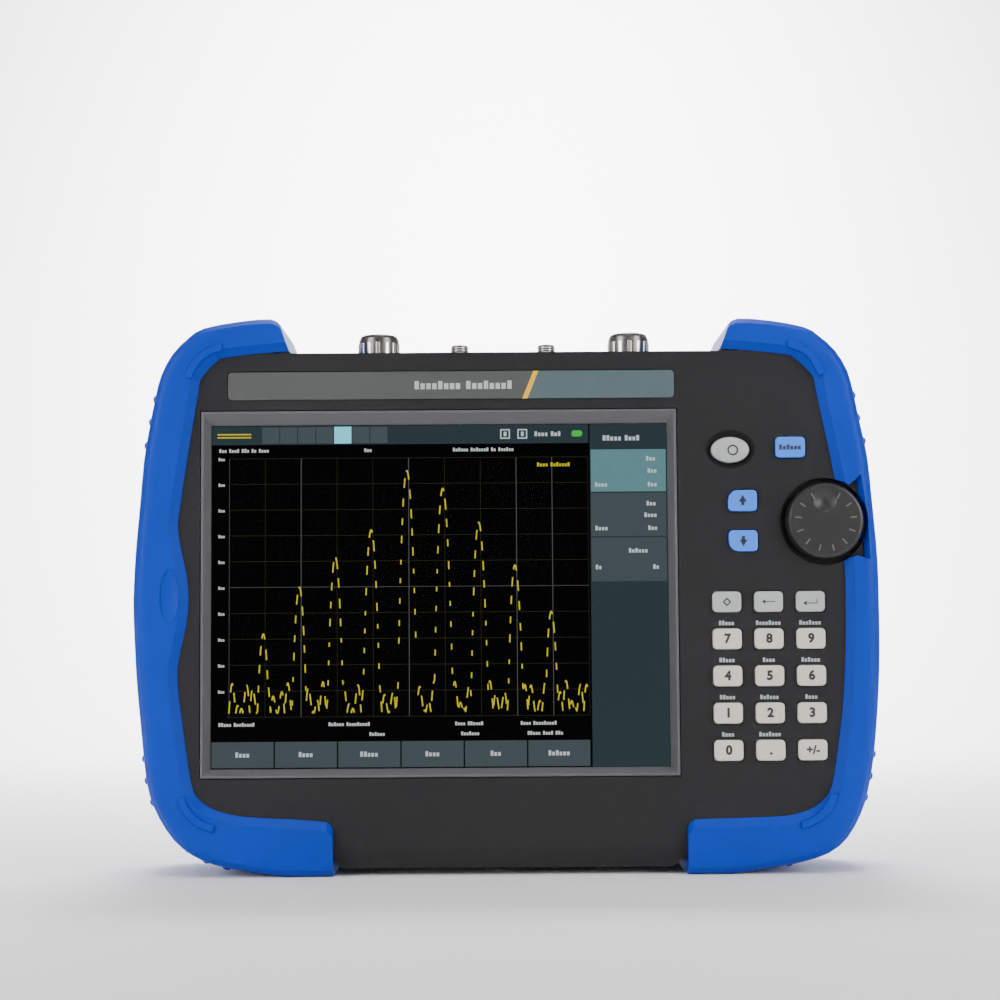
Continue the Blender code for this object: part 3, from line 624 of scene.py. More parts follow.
class AnalyzerSizes(bpy.types.PropertyGroup):
    """Sizes of details that the finish adds."""
    casing_edge: FloatProperty(
        name="Casing Edge", description="Rounding of the casing's edges", unit="LENGTH",
        default=0.0005, min=0, max=0.002)
    bumper_edge: FloatProperty(
        name="Bumper Edge", description="Rounding of the bumper's edges", unit="LENGTH",
        default=0.0007, min=0, max=0.002)
    rib_height: FloatProperty(
        name="Rib Height", description="How far the grip ribs stand out", unit="LENGTH",
        default=0.0011, min=0, max=0.003)
    screen_glow: FloatProperty(
        name="Screen Glow", description="Brightness of the lit display", default=1.0, min=0, max=5)
    lens: FloatProperty(
        name="Lens", description="Focal length of the studio camera in millimetres", default=72.0,
        min=20, max=200)


# ---- operators, one for each piece or group of like pieces --------------------------------------
class AnalyzerCasing(bpy.types.Operator):
    """Finish the two casing halves, the battery cover and the case screws"""
    bl_idname = "analyzer.casing"
    bl_label = "Casing"

    def execute(self, context):
        edge = context.scene.analyzer_sizes.casing_edge / MM
        plastic = casing_plastic()
        for node in ("front_shell", "rear_shell"):
            stand_in(node, "housing", "casing", plastic, width=edge, angle=40)
        stand_in("battery_cover", "housing", "casing", plastic, width=0.6, segments=3)
        self.finger_grips()
        steel = metal("black_steel", (0.10, 0.10, 0.105), roughness=0.35, tarnish=0.2)
        for k in range(1, 5):
            stand_in(f"case_screw_{k}", "housing", "dark_steel", steel, width=0.12)
        return {"FINISHED"}

    def finger_grips(self):
        """Three raised ridges across the lower edge of the battery cover."""
        half_length, half_width, rise, first, pitch = 9.0, 0.6, 0.45, 6.0, 2.6
        middle = centre("battery_cover")
        low, high = span("battery_cover")
        ridges = []
        for k in range(3):
            z = low.z + first + pitch * k
            ridge = block((middle.x - half_length, high.y - 0.2, z - half_width),
                          (middle.x + half_length, high.y + rise, z + half_width))
            soften(ridge, 0.28)
            ridges.append(ridge)
        joined_smooth(ridges, 40, "battery_cover_grips", "housing", "casing", casing_plastic())


class AnalyzerBumpers(bpy.types.Operator):
    """Finish the rubber bumpers and add their corner strips and grip ribs"""
    bl_idname = "analyzer.bumpers"
    bl_label = "Bumpers"

    # centre across and up, radius, first and last angle in degrees
    corner_strips = {"upper": (98.0, 172.0, 14.1, 12, 82), "lower": (99.6, 31.5, 14.6, -80, -14)}
    # height and lean in degrees
    side_rows = ((168.4, 10), (160.3, 8), (151.9, 6), (41.2, -5), (33.6, -8), (26.2, -14))
    # place across and up, and lean in degrees
    base_rows = ((98.6, 3.9, 20), (105.6, 6.2, 33), (112.0, 10.0, 45))
    rib_half_width = 1.9
    rib_end = 6.5               # from the end of a rib to the bumper's edge

    def execute(self, context):
        self.rib_height = context.scene.analyzer_sizes.rib_height / MM
        edge = context.scene.analyzer_sizes.bumper_edge / MM
        for side, name in ((-1, "left"), (1, "right")):
            stand_in(f"{name}_bumper", "housing", "bumper_rubber", bumper_rubber(), width=edge,
                     segments=3, angle=24, shade=40)
            for corner, shape in self.corner_strips.items():
                self.corner_strip(side, f"{name}_{corner}_corner_strip", *shape)
            self.side_ribs(side, f"{name}_side_ribs")
            self.base_ribs(side, f"{name}_base_ribs")
        return {"FINISHED"}

    def corner_strip(self, side, name, x, z, radius, start, end):
        """A raised strip that curves round a corner of the bumper's front face."""
        half_width, depth, proud = 1.35, 2.0, 0.9
        low, _ = span("left_bumper")
        strip = primitive("plane", size=1)
        set_down(strip, (radius, 0, 0), scale=(2 * half_width * MM, depth * MM, 1))
        set_down(strip, (x, low.y + depth / 2 - proud, z), (0, -math.radians(start), 0))
        open_mesh(strip)
        bpy.ops.mesh.spin(
            steps=14, dupli=False, angle=math.radians(end - start), axis=(0, 1, 0),
            center=Vector((x, low.y, z)) * MM)
        bpy.ops.mesh.select_all(action="SELECT")
        bpy.ops.mesh.remove_doubles(threshold=WELD)
        close_mesh()
        set_down(strip, scale=(side, 1, 1))
        point_outwards(strip)
        soften(strip, 0.5, 3, 40)
        smooth(strip, 40)
        finish(strip, name, "housing", "bumper_rubber", bumper_rubber())

    def rib(self, x, z, height, lean):
        """One rib with a rounded crest, running from front to back of the bumper."""
        low, high = span("left_bumper")
        piece = primitive(
            "cylinder", (0, (low.y + high.y) / 2, 0), vertices=16, radius=self.rib_half_width * MM,
            depth=(high.y - low.y - 2 * self.rib_end) * MM, rotation=TO_FRONT)
        settle(piece)
        set_down(piece, (x, 0, z), (0, lean, 0), (height / self.rib_half_width, 1, 1))
        soften(piece, 0.6, 2, 60)
        return piece

    def side_ribs(self, side, name):
        """Grip ribs across the bumper's outer side, in an upper and a lower group."""
        sunk = 1.0
        ribs = [self.rib(side * (outer_x(side, z) - sunk), z, self.rib_height + sunk,
                         math.radians(lean) * side) for z, lean in self.side_rows]
        joined_smooth(ribs, 50, name, "housing", "bumper_rubber", bumper_rubber())

    def base_ribs(self, side, name):
        """Short ribs under the bumper's lower corner."""
        sunk = 0.6
        ribs = [self.rib(side * x, z, self.rib_height + sunk, math.radians(90 - lean) * side)
                for x, z, lean in self.base_rows]
        joined_smooth(ribs, 50, name, "housing", "bumper_rubber", bumper_rubber())


class AnalyzerSurround(bpy.types.Operator):
    """Finish the mitred screen surround and the printed name plate"""
    bl_idname = "analyzer.surround"
    bl_label = "Screen Surround"

    def execute(self, context):
        colours = context.scene.analyzer_colours
        grey = moulded("surround_plastic", colours.surround, roughness=0.36, drift=0.04, grain=3000.0)
        stand_in("display_surround", "housing", "screen_surround", grey, width=0.25, angle=20)
        stand_in("name_plate", "housing", "name_plate", plate_film(), width=0.15)
        low, _ = span("name_plate")
        ink = print_ink("pale_ink", (0.42, 0.44, 0.44))
        title = block_group(word_blocks(-14.5, low.y + 0.01, centre("name_plate").z, 2.9, (8, 8)))
        finish(title, "name_plate_title", "housing", "name_plate", ink)
        return {"FINISHED"}


class AnalyzerDisplay(bpy.types.Operator):
    """Light the display: bars, tiles, grid, spectrum trace and small print"""
    bl_idname = "analyzer.display"
    bl_label = "Display"

    width, height = 162.0, 121.5
    columns = rows = 10
    peak_levels = (0.32, 0.50, 0.616, 0.72, 0.95, 0.88, 0.747, 0.58, 0.40)
    lobe_width = 0.029          # half width of a peak, as a share of the graticule
    dark_tile = (0.029, 0.047, 0.055)
    grid_lift, print_lift, trace_lift = 0.10, 0.10, 0.14
    # where a line of print starts across and down, its height, and the letters in its words
    print_rows = (
        (0.016, 0.0725, 1.3, (3, 4, 3, 2, 4)), (0.335, 0.0725, 1.3, (3,)),
        (0.53, 0.0725, 1.3, (6, 7, 2, 6)), (0.016, 0.872, 1.3, (5, 8)),
        (0.256, 0.872, 1.3, (6, 9)), (0.532, 0.872, 1.3, (4, 6)), (0.675, 0.872, 1.3, (4, 9)),
        (0.345, 0.901, 1.3, (6,)), (0.545, 0.901, 1.3, (7,)), (0.69, 0.901, 1.3, (5, 4, 3)),
        (0.86, 0.041, 1.9, (5, 4)), (0.955, 0.102, 1.6, (3,)), (0.958, 0.138, 1.6, (3,)),
        (0.842, 0.178, 1.6, (4,)), (0.958, 0.178, 1.6, (3,)), (0.955, 0.234, 1.6, (3,)),
        (0.950, 0.268, 1.6, (4,)), (0.842, 0.306, 1.6, (4,)), (0.958, 0.306, 1.6, (3,)),
        (0.915, 0.372, 1.6, (6,)), (0.842, 0.420, 1.6, (2,)), (0.968, 0.420, 1.6, (2,)),
        (0.71, 0.0275, 1.7, (4, 3)),
    )

    def execute(self, context):
        self.colours = context.scene.analyzer_colours
        self.glow = context.scene.analyzer_sizes.screen_glow
        middle = centre("window_glass")
        self.left = middle.x - self.width / 2
        self.top = middle.z + self.height / 2
        self.face = span("lcd_module")[0].y
        frame["nodes"]["lcd_module"].data.materials[0] = moulded(
            "display_frame", (0.012, 0.012, 0.013), roughness=0.4)
        self.panel("display_background", [(0, 0, 1, 1)], 1, (0.002, 0.002, 0.002))
        self.panel("display_status_bar", [(0, 0, 0.828, 0.0555)], 2, self.dark_tile)
        self.panel("display_side_panel", [(0.831, 0, 1, 1)], 2, self.dark_tile)
        keys = [(0.001 + 0.138 * k, 0.922, 0.136 + 0.138 * k, 0.997) for k in range(6)]
        tiles = keys + [(0.833, 0.203, 0.998, 0.330), (0.833, 0.334, 0.998, 0.462)]
        self.panel("display_tiles", tiles, 3, (0.064, 0.085, 0.094))
        tabs = [(0.110 + 0.0397 * k, 0.004, 0.1475 + 0.0397 * k, 0.0515) for k in range(7) if k != 4]
        self.panel("display_tabs", tabs, 3, (0.066, 0.090, 0.100))
        self.panel("display_chosen_tab", [(0.2688, 0.003, 0.3065, 0.0525)], 3, (0.20, 0.95, 1.15))
        self.panel("display_chosen_tile", [(0.833, 0.075, 0.998, 0.199)], 3, (0.12, 0.265, 0.295))
        self.battery_mark()
        self.grid()
        self.trace()
        self.small_print()
        return {"FINISHED"}

    def at(self, across, down):
        """Place on the display from fractions of its width and height."""
        return self.left + self.width * across, self.top - self.height * down

    def dress(self, piece, name, color, variation=0.06):
        """Give a piece of the picture its light and fix it to the housing."""
        finish(piece, name, "housing", "display", lit(name, color, self.glow, variation=variation))

    def panel(self, name, areas, layer, color):
        """Flat lit areas, given as fractions, on one layer of the picture."""
        back = self.face - 0.012 - THIN * (layer - 1)
        corners = []
        for x0, y0, x1, y1 in areas:
            left, top = self.at(x0, y0)
            right, low = self.at(x1, y1)
            corners.append(((left, back - THIN, low), (right, back, top)))
        self.dress(block_group(corners), name, color)

    def battery_mark(self):
        """Green charge mark in the status bar."""
        half_x, half_z, corner = 1.9, 1.05, 0.9
        x, z = self.at(0.803, 0.0275)
        mark = block((x - half_x, self.face - 0.11, z - half_z), (x + half_x, self.face - 0.07, z + half_z))
        open_mesh(mark)
        close_mesh()
        for edge in mark.data.edges:
            a, b = (mark.data.vertices[i].co for i in edge.vertices)
            edge.select = abs(a.y - b.y) > 0.01 * MM
        bpy.ops.object.mode_set(mode="EDIT")
        bpy.ops.mesh.select_mode(type="EDGE")
        bpy.ops.mesh.bevel(offset=corner * MM, segments=4)
        close_mesh()
        self.dress(mark, "display_charge_mark", (0.03, 0.62, 0.06))

    def graticule(self):
        """Left, foot, right and top of the graticule."""
        left, top = self.at(0.0385, 0.096)
        right, foot = self.at(0.826, 0.8505)
        return left, foot, right, top

    def grid(self):
        """Graticule, with brighter lines at its left side, its middle and some divisions."""
        x0, z0, x1, z1 = self.graticule()
        back = self.face - self.grid_lift
        line = 0.02
        dim, bright = [], []
        for k in range(self.columns + 1):
            x = x0 + (x1 - x0) * k / self.columns
            half = 0.13 if k in (2, 5, 8, 9) else 0.08
            chosen = bright if k in (0, 2, 5, 8, 9) else dim
            chosen.append(((x - half, back - line, z0), (x + half, back, z1)))
        for k in range(self.rows + 1):
            z = z0 + (z1 - z0) * k / self.rows
            chosen = bright if k == 5 else dim
            chosen.append(((x0, back - line, z - 0.09), (x1, back, z + 0.09)))
        self.dress(block_group(dim), "display_grid", (0.034, 0.030, 0.012), 0.4)
        self.dress(block_group(bright), "display_grid_main_lines", (0.090, 0.090, 0.092), 0.3)

    def level(self, across):
        """Height of the spectrum at a fraction of the graticule's width."""
        value = 0.015 + 0.12 * abs(math.sin(163.0 * across) * math.sin(61.0 * across + 1.3))
        for k, peak in enumerate(self.peak_levels):
            away = abs(across - (0.1 * (k + 1) - 0.005))
            value = max(value, peak - (away / self.lobe_width) ** 2)
        return value

    def trace(self):
        """The spectrum itself: a thin bright line, broken into strokes as the display redraws it."""
        x0, z0, x1, z1 = self.graticule()
        y = self.face - self.trace_lift
        steps, stroke, gap, half_width, flatness = 2400, 4.4, 2.0, 0.25, 0.12
        strokes, points, run, before = [], [], 0.0, None
        for k in range(steps + 1):
            across = k / steps
            here = Vector((x0 + (x1 - x0) * across, y, z0 + (z1 - z0) * self.level(across)))
            run += (here - before).length if before else 0.0
            before = here
            if run < stroke:
                points.append(here)
            elif points:
                strokes.append(points)
                points = []
            if run > stroke + gap:
                run = 0.0
        lines = [ribbon(places, half_width, flatness) for places in strokes if len(places) > 1]
        self.dress(joined(lines), "display_trace", tuple(self.colours.trace), 0.35)

    def small_print(self):
        """Marks that stand for the display's lines of print."""
        y = self.face - self.print_lift
        white = []
        for across, down, tall, lengths in self.print_rows:
            x, z = self.at(across, down)
            white += word_blocks(x, y, z, tall, lengths, centred=False)
        for k, letters in enumerate((4, 4, 5, 4, 3, 6)):
            x, z = self.at(0.069 + 0.138 * k, 0.959)
            white += word_blocks(x, y, z, 1.8, (letters,))
        for k in range(self.rows):
            x, z = self.at(0.022, 0.0975 + 0.07545 * k)
            white += word_blocks(x, y, z, 1.1, (3,))
        for across in (0.645, 0.683):
            white += self.framed_mark(*self.at(across, 0.0275), y)
        self.dress(block_group(white), "display_print", (0.62, 0.66, 0.68), 0.2)
        x, z = self.at(0.715, 0.118)
        yellow = word_blocks(x, y, z, 1.4, (4, 7), centred=False)
        x, z = self.at(0.012, 0.029)
        yellow += [((x, y - THIN, z + low), (x + 12.0, y, z + low + 0.5)) for low in (-0.8, 0.3)]
        self.dress(block_group(yellow), "display_yellow_print", (0.70, 0.55, 0.01), 0.2)

    def framed_mark(self, x, z, y):
        """A small square frame with a bar in its middle."""
        half, line = 1.75, 0.45
        areas = ((-half, -half, half, line - half), (-half, half - line, half, half),
                 (-half, -half, line - half, half), (half - line, -half, half, half),
                 (-0.5, -0.8, 0.5, 0.8))
        return [((x + x0, y - THIN, z + z0), (x + x1, y, z + z1)) for x0, z0, x1, z1 in areas]


class AnalyzerGlass(bpy.types.Operator):
    """Give the screen its clear glass"""
    bl_idname = "analyzer.glass"
    bl_label = "Screen Glass"

    def execute(self, context):
        frame["nodes"]["window_glass"].data.materials[0] = cover_glass()
        return {"FINISHED"}


class AnalyzerKeys(bpy.types.Operator):
    """Finish every key cap in its own plastic"""
    bl_idname = "analyzer.keys"
    bl_label = "Keys"

    def execute(self, context):
        colours = context.scene.analyzer_colours
        warm, silver, blue = (
            moulded(f"{name}_key_plastic", color, roughness=roughness, drift=drift, grain=3600.0,
                    height=0.12)
            for name, color, roughness, drift in (
                ("figure", colours.key_warm, 0.42, 0.05), ("silver", colours.key_silver, 0.34, 0.06),
                ("blue", colours.key_blue, 0.38, 0.05)))
        finishes = {name: (blue, "blue_key_plastic") for name in ("preset_key", "up_key", "down_key")}
        for name in ("power_button", "key_clear", "key_backspace", "key_enter"):
            finishes[name] = (silver, "silver_plastic")
        for node in BUTTONS:
            material, finish_slot = finishes.get(node, (warm, "key_plastic"))
            if node == "power_button":
                self.domed_button(node, material, finish_slot)
            else:
                stand_in(node, node, finish_slot, material, width=0.18, angle=20, shade=50)
        return {"FINISHED"}

    def domed_button(self, node, material, finish_slot):
        """Oval button with a gently domed top, made from a sphere and a skirt."""
        margin, rise, sunk, skirt = 0.9, 1.5, 0.2, 2.2
        low, high = span(node)
        middle, half = (low + high) / 2, (high - low) / 2
        dome = primitive("uv_sphere", segments=48, ring_count=24, radius=1)
        set_down(dome, turn=TO_FRONT)
        open_mesh(dome)
        bpy.ops.mesh.select_mode(type="VERT")
        bpy.ops.mesh.select_all(action="DESELECT")
        close_mesh()
        for vertex in dome.data.vertices:
            vertex.select = vertex.co.y > 0.01
        bpy.ops.object.mode_set(mode="EDIT")
        bpy.ops.mesh.delete(type="VERT")
        bpy.ops.mesh.select_all(action="DESELECT")
        bpy.ops.mesh.select_non_manifold()
        bpy.ops.mesh.extrude_region_move(TRANSFORM_OT_translate={"value": (0, skirt, 0)})
        bpy.ops.mesh.edge_face_add()
        close_mesh()
        point_outwards(dome)
        set_down(dome, (middle.x, low.y + rise - sunk, middle.z),
                 scale=((half.x - margin) * MM, rise * MM, (half.z - margin) * MM))
        smooth(dome, 50)
        finish(dome, f"{node}_finished", node, finish_slot, material)
        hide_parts(node)


class AnalyzerLegends(bpy.types.Operator):
    """Print the figures and arrows on the key caps"""
    bl_idname = "analyzer.legends"
    bl_label = "Key Legends"

    def execute(self, context):
        for figure in DIGIT_KEYS:
            self.mark(f"key_{figure}", "key_plastic",
                      lambda x, y, z, f=figure: lettering(f, x, y, z, 3.2, bold=0.22))
        self.mark("key_point", "key_plastic", lambda x, y, z: self.dot(x, y, z - 1.1))
        self.mark("key_sign", "key_plastic",
                  lambda x, y, z: lettering("+/-", x, y, z, 2.9, bold=0.16))
        self.mark("key_clear", "silver_plastic", self.diamond)
        self.mark("key_backspace", "silver_plastic", self.back_arrow)
        self.mark("key_enter", "silver_plastic", self.enter_arrow)
        self.mark("up_key", "blue_key_plastic", lambda x, y, z: self.pointer(x, y, z, 1))
        self.mark("down_key", "blue_key_plastic", lambda x, y, z: self.pointer(x, y, z, -1))
        self.mark("preset_key", "blue_key_plastic",
                  lambda x, y, z: block_group(word_blocks(x, y + 0.02, z, 1.85, (6,), 0.04)))
        self.mark("power_button", "silver_plastic",
                  lambda x, y, z: ring(x + 0.8, y - 0.12, z - 0.2, 1.65, 0.26))
        return {"FINISHED"}

    def mark(self, node, finish_slot, shape):
        """Put one printed mark on a key's top, moving with the key."""
        low, high = span(node)
        middle = (low + high) / 2
        piece = shape(middle.x, low.y - 0.005, middle.z)
        ink = print_ink("dark_ink", (0.018, 0.018, 0.02))
        finish(piece, f"{node}_legend", node, finish_slot, ink)

    def dot(self, x, y, z):
        """A round dot."""
        return primitive("cylinder", (x, y, z), vertices=20, radius=0.5 * MM, depth=0.05 * MM,
                         rotation=TO_FRONT)

    def diamond(self, x, y, z):
        """An open diamond: a four-sided ring."""
        return ring(x, y, z, 1.25, 0.3, sides=4, section=6)

    def back_arrow(self, x, y, z):
        """An arrow to the left."""
        shaft = block((x - 1.0, y - 0.02, z - 0.17), (x + 2.3, y + 0.02, z + 0.17))
        head = wedge(x - 1.6, y, z, 0.95, 0.04, -math.pi / 2)
        return joined([shaft, head])

    def enter_arrow(self, x, y, z):
        """An arrow to the left from a short riser."""
        shaft = block((x - 1.2, y - 0.02, z - 0.77), (x + 2.4, y + 0.02, z - 0.43))
        riser = block((x + 2.06, y - 0.02, z - 0.45), (x + 2.4, y + 0.02, z + 0.95))
        head = wedge(x - 1.8, y, z - 0.6, 0.95, 0.04, -math.pi / 2)
        return joined([shaft, riser, head])

    def pointer(self, x, y, z, way):
        """A short arrow up or down."""
        head = wedge(x, y, z + 0.4 * way, 1.6, 0.04, 0 if way > 0 else math.pi)
        shaft = block((x - 0.55, y - 0.02, z - 1.65 if way > 0 else z - 0.1),
                      (x + 0.55, y + 0.02, z + 0.1 if way > 0 else z + 1.65))
        return joined([shaft, head])


class AnalyzerLabels(bpy.types.Operator):
    """Print the small marks above the keypad's rows"""
    bl_idname = "analyzer.labels"
    bl_label = "Panel Labels"

    def execute(self, context):
        ink = print_ink("label_ink", (0.36, 0.40, 0.42))
        face = span("front_shell")[0].y
        blocks = []
        lengths = {"7": 5, "8": 8, "9": 7, "4": 5, "5": 4, "6": 6, "1": 5, "2": 6, "3": 4, "0": 4,
                   "point": 7}
        for name, count in lengths.items():
            low, high = span(f"key_{name}")
            blocks += word_blocks((low.x + high.x) / 2, face + 0.01, high.z + 1.05, 1.55, (count,))
        finish(block_group(blocks), "keypad_labels", "housing", "name_plate", ink)
        return {"FINISHED"}


class AnalyzerKnob(bpy.types.Operator):
    """Finish the control knob and its filled ticks"""
    bl_idname = "analyzer.knob"
    bl_label = "Control Knob"

    def execute(self, context):
        dark = moulded("knob_plastic", (0.019, 0.019, 0.02), roughness=0.38, drift=0.05,
                       grain=3000.0, specular=0.4)
        stand_in("control_knob", "control_knob", "knob_plastic", dark, width=0.12, angle=32, shade=40)
        middle = centre("control_knob")
        low, _ = span("control_knob")
        inner, outer, half_width, places = 8.6, 10.9, 0.22, 13
        ticks = []
        for k in range(1, places):
            tick = block((inner, -0.16, -half_width), (outer, 0.02, half_width))
            turn = math.radians(90 + 360 * k / places)
            set_down(tick, (middle.x, low.y + 0.23, middle.z), (0, -turn, 0))
            ticks.append(tick)
        finish(joined(ticks), "control_knob_ticks", "control_knob", "knob_plastic",
               print_ink("tick_ink", (0.12, 0.125, 0.13)))
        return {"FINISHED"}


class AnalyzerConnectors(bpy.types.Operator):
    """Replace the four coaxial connectors with fluted and threaded ones"""
    bl_idname = "analyzer.connectors"
    bl_label = "Connectors"

    def execute(self, context):
        nickel = metal("bright_nickel", (0.74, 0.71, 0.65), roughness=0.12)
        # Darker copy of the nickel for the barrels: painted shade and dark reflections between the bright
        # flutes and thread crests.
        painted_shade = metal("painted_shade_nickel", (0.15, 0.145, 0.135), roughness=0.2, tarnish=0.5)
        for node in ("rf_input_connector", "tracking_output_connector"):
            stand_in(node, "housing", "nickel_plate", painted_shade, width=0.15, shade=40)
            self.flutes(node, nickel)
        for node in ("reference_input_connector", "trigger_input_connector"):
            stand_in(node, "housing", "nickel_plate", painted_shade, width=0.1, shade=40)
            self.threads(node, nickel)
        return {"FINISHED"}

    def flutes(self, node, nickel):
        """Raised flutes round the barrel of a large connector."""
        count, half_width, inner, outer, foot, crown = 14, 0.75, 6.9, 7.75, 13.2, 3.0
        middle, top = centre(node), span(node)[1].z
        ribs = []
        for k in range(count):
            rib = block((inner, -half_width, top - foot), (outer, half_width, top - crown))
            soften(rib, 0.3)
            set_down(rib, (middle.x, middle.y, 0), (0, 0, 2 * math.pi * (k + 0.5) / count))
            ribs.append(rib)
        joined_smooth(ribs, 40, f"{node}_flutes", "housing", "nickel_plate", nickel)

    def threads(self, node, nickel):
        """Thread crests round a small connector."""
        count, pitch, radius, half_width, first = 9, 0.85, 3.1, 0.3, 1.2
        middle, top = centre(node), span(node)[1].z
        crests = [primitive(
            "torus", (middle.x, middle.y, top - first - pitch * k), major_segments=32,
            minor_segments=8, major_radius=radius * MM, minor_radius=half_width * MM)
            for k in range(count)]
        joined_smooth(crests, 50, f"{node}_threads", "housing", "nickel_plate", nickel)


class AnalyzerFittings(bpy.types.Operator):
    """Finish the stand, its pins, the side door and the sockets behind it"""
    bl_idname = "analyzer.fittings"
    bl_label = "Stand and Side Door"

    def execute(self, context):
        black = moulded("black_plastic", (0.02, 0.02, 0.022), grain=2000.0)
        steel = metal("bright_steel", (0.55, 0.55, 0.53), roughness=0.25, tarnish=0.15)
        stand_in("kickstand", "kickstand", "black_plastic", black, width=0.7, segments=3, angle=35,
                 shade=40)
        door = stand_in("port_cover", "port_cover", "black_plastic", black, width=0.4, segments=3,
                        angle=40, shade=40)
        self.crown(door)
        stand_in("dc_inlet", "housing", "black_plastic", black, width=0.2)
        stand_in("usb_port", "housing", "bright_metal", steel, width=0.15)
        for node in ("left_stand_pin", "right_stand_pin", "encoder", "rf_module"):
            frame["nodes"][node].data.materials[0] = steel
        self.door_grip(black)
        return {"FINISHED"}

    def crown(self, door):
        """Bow the door's outer face so that it follows the bumper's side, except next to its hinge."""
        levels, proud, fade = 12, 0.15, 6.0
        low, high = span("port_cover")
        open_mesh(door)
        for k in range(1, levels):
            z = low.z + (high.z - low.z) * k / levels
            bpy.ops.mesh.select_all(action="SELECT")
            bpy.ops.mesh.bisect(plane_co=(0, 0, z * MM), plane_no=(0, 0, 1))
        close_mesh()
        middle_x, hinge_y = (low.x + high.x) / 2, high.y - (high.x - low.x) / 2
        for vertex in door.data.vertices:
            if vertex.co.x / MM < middle_x:
                rise = outer_x(-1, vertex.co.z / MM) + proud + low.x
                if rise > 0:
                    rise *= min(max((hinge_y - vertex.co.y / MM) / fade, 0.0), 1.0)
                vertex.co.x -= rise * MM
        smooth(door, 35)

    def door_grip(self, black):
        """A raised lip on the door's free edge to pull it open by."""
        low, high = span("port_cover")
        middle = (low + high) / 2
        half_height, proud = 9.0, 1.3
        lip = block((low.x - proud, low.y + 1.2, middle.z - half_height),
                    (low.x + 0.3, low.y + 3.0, middle.z + half_height))
        soften(lip, 0.35, 3)
        smooth(lip, 40)
        finish(lip, "port_cover_grip", "port_cover", "black_plastic", black)


class AnalyzerInside(bpy.types.Operator):
    """Give the parts inside the casing their finishes"""
    bl_idname = "analyzer.inside"
    bl_label = "Inside Parts"

    def execute(self, context):
        mask = moulded("board_mask", (0.01, 0.13, 0.05), roughness=0.35, drift=0.2, grain=900.0,
                       height=0.2)
        mat = moulded("mat_rubber", (0.02, 0.02, 0.022), roughness=0.65, grain=1200.0)
        wrap = moulded("battery_wrap", (0.015, 0.02, 0.035), roughness=0.3, drift=0.1, grain=600.0,
                       height=0.15)
        for node, material in (("main_board", mask), ("keypad_board", mask), ("key_mat", mat),
                               ("battery_pack", wrap)):
            frame["nodes"][node].data.materials[0] = material
        return {"FINISHED"}


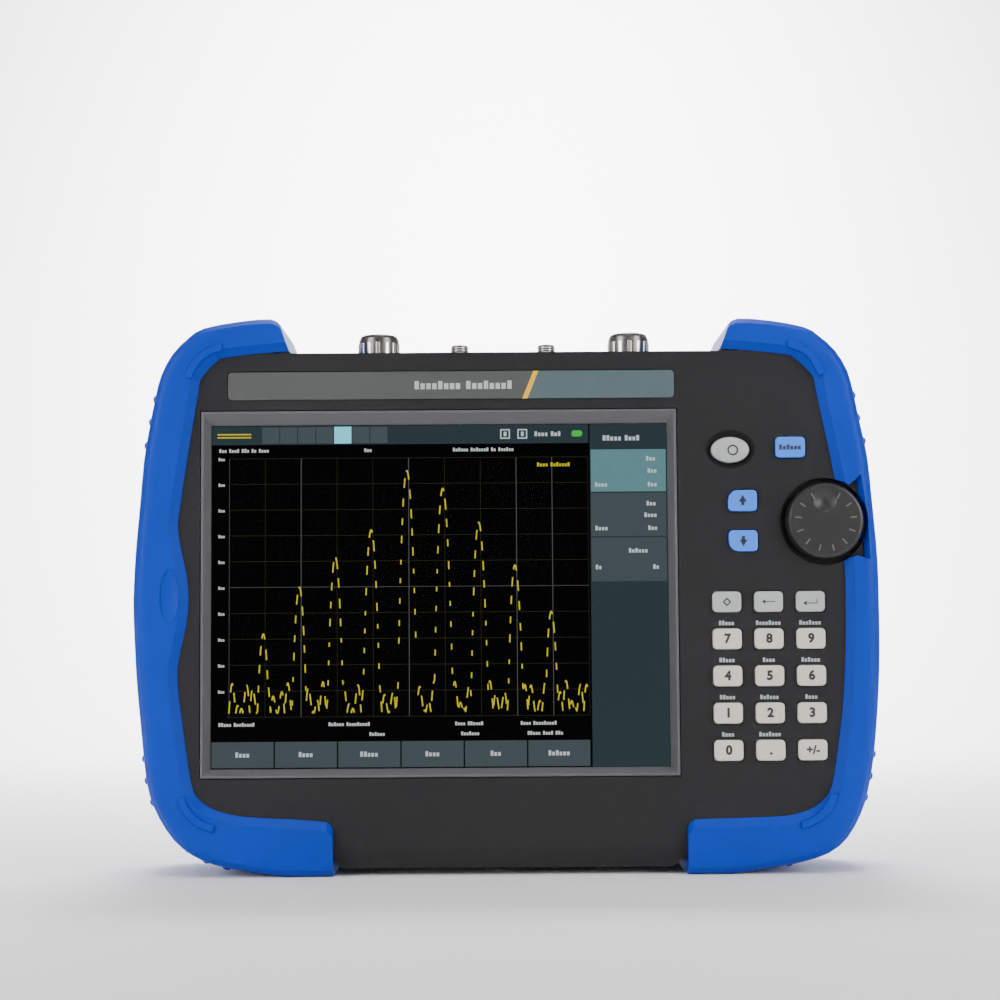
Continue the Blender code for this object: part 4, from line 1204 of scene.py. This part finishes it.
class AnalyzerStage(bpy.types.Operator):
    """Set the pale floor, the soft lights and the camera"""
    bl_idname = "analyzer.stage"
    bl_label = "Studio Stage"

    def execute(self, context):
        self.floor()
        self.lights()
        self.camera(context)
        return {"FINISHED"}

    def floor(self):
        """A pale floor that sweeps up into a backdrop; its sizes are in metres."""
        width, length, front_shift, wall, sweep_radius = 9.0, 5.0, 1.0, 4.0, 0.8
        sweep = primitive("plane", size=1)
        set_down(sweep, (0, -front_shift / MM, 0), scale=(width, length, 1.0))
        for edge in sweep.data.edges:
            edge.select = all(sweep.data.vertices[i].co.y > 1 for i in edge.vertices)
        for vertex in sweep.data.vertices:
            vertex.select = vertex.co.y > 1
        bpy.ops.object.mode_set(mode="EDIT")
        bpy.ops.mesh.select_mode(type="EDGE")
        bpy.ops.mesh.extrude_region_move(TRANSFORM_OT_translate={"value": (0, 0, wall)})
        close_mesh()
        soften(sweep, sweep_radius / MM, 16, 60)
        smooth(sweep, 60)
        sweep.name = "studio_floor"
        sweep.data.materials.append(studio_paper())

    def lights(self):
        """Soft lamps above and on both sides, two for the backdrop and floor, and a dim room."""
        # name, place, aim, width in metres, power in watts and spread in degrees
        lamps = [
            ("left_lamp", (-1.3, -1.1, 0.60), (0, 0, 0.10), 0.9, 20.0, 180),
            ("right_lamp", (1.3, -1.1, 0.60), (0, 0, 0.10), 0.9, 20.0, 180),
            ("top_lamp", (0.0, -0.35, 1.5), (0, 0, 0.10), 1.0, 8.0, 180),
            ("backdrop_lamp", (0.0, 0.55, 1.25), (0, 1.4, 0.45), 0.8, 40.0, 90),
            ("floor_lamp", (0.0, 0.75, 1.2), (0, 0.6, 0.0), 0.6, 9.0, 70),
        ]
        for name, place, target, size, power, spread in lamps:
            data = bpy.data.lights.new(name, "AREA")
            data.shape = "SQUARE"
            data.size = size
            data.energy = power
            data.spread = math.radians(spread)
            lamp = bpy.data.objects.new(name, data)
            lamp.location = place
            lamp.rotation_euler = (Vector(target) - Vector(place)).to_track_quat("-Z", "Y").to_euler()
            bpy.context.scene.collection.objects.link(lamp)
        world = bpy.data.worlds.new("studio_world")
        world.use_nodes = True
        background = world.node_tree.nodes["Background"]
        background.inputs["Color"].default_value = (0.96, 0.97, 1.0, 1)
        background.inputs["Strength"].default_value = 0.18
        bpy.context.scene.world = world

    def camera(self, context):
        """Camera level with the keypad, a little left of the middle, tilted slightly up."""
        yaw, pitch, roll = -0.00198, 0.07108, 0.00675
        across, away, height = -3.38, 705.0, 81.23
        face = span("front_shell")[0].y
        data = bpy.data.cameras.new("studio_camera")
        data.lens = context.scene.analyzer_sizes.lens
        data.sensor_width = 36.0
        camera = bpy.data.objects.new("studio_camera", data)
        turn = Matrix.Rotation(yaw, 3, "Z") @ Matrix.Rotation(pitch, 3, "X")
        turn = turn @ Matrix.Rotation(roll, 3, "Y") @ Matrix.Rotation(math.pi / 2, 3, "X")
        camera.rotation_euler = turn.to_euler()
        camera.location = Vector((across, face - away, height)) * MM
        context.scene.collection.objects.link(camera)
        context.scene.camera = camera


class AnalyzerPanel(bpy.types.Panel):
    """Lists the analyzer's pieces and settings in the sidebar"""
    bl_idname = "VIEW3D_PT_analyzer"
    bl_label = "Spectrum Analyzer"
    bl_space_type = "VIEW_3D"
    bl_region_type = "UI"
    bl_category = "Analyzer"

    def draw(self, context):
        column = self.layout.column()
        for settings in (context.scene.analyzer_sizes, context.scene.analyzer_colours):
            for name in settings.__annotations__:
                column.prop(settings, name)
        for step in STEPS:
            column.operator(step.bl_idname)


STEPS = (
    AnalyzerCasing, AnalyzerBumpers, AnalyzerSurround, AnalyzerDisplay, AnalyzerGlass, AnalyzerKeys,
    AnalyzerLegends, AnalyzerLabels, AnalyzerKnob, AnalyzerConnectors, AnalyzerFittings, AnalyzerInside,
    AnalyzerStage,
)
CLASSES = (AnalyzerColours, AnalyzerSizes, *STEPS, AnalyzerPanel)


def register():
    """Register the settings, operators and panel."""
    for item in CLASSES:
        bpy.utils.register_class(item)
    bpy.types.Scene.analyzer_colours = PointerProperty(type=AnalyzerColours)
    bpy.types.Scene.analyzer_sizes = PointerProperty(type=AnalyzerSizes)


def unregister():
    """Take the settings, operators and panel away again."""
    del bpy.types.Scene.analyzer_sizes
    del bpy.types.Scene.analyzer_colours
    for item in reversed(CLASSES):
        bpy.utils.unregister_class(item)


def main():
    """Build every piece in order."""
    register()
    for step in STEPS:
        area, action = step.bl_idname.split(".")
        getattr(getattr(bpy.ops, area), action)()


if __name__ == "__main__":
    main()
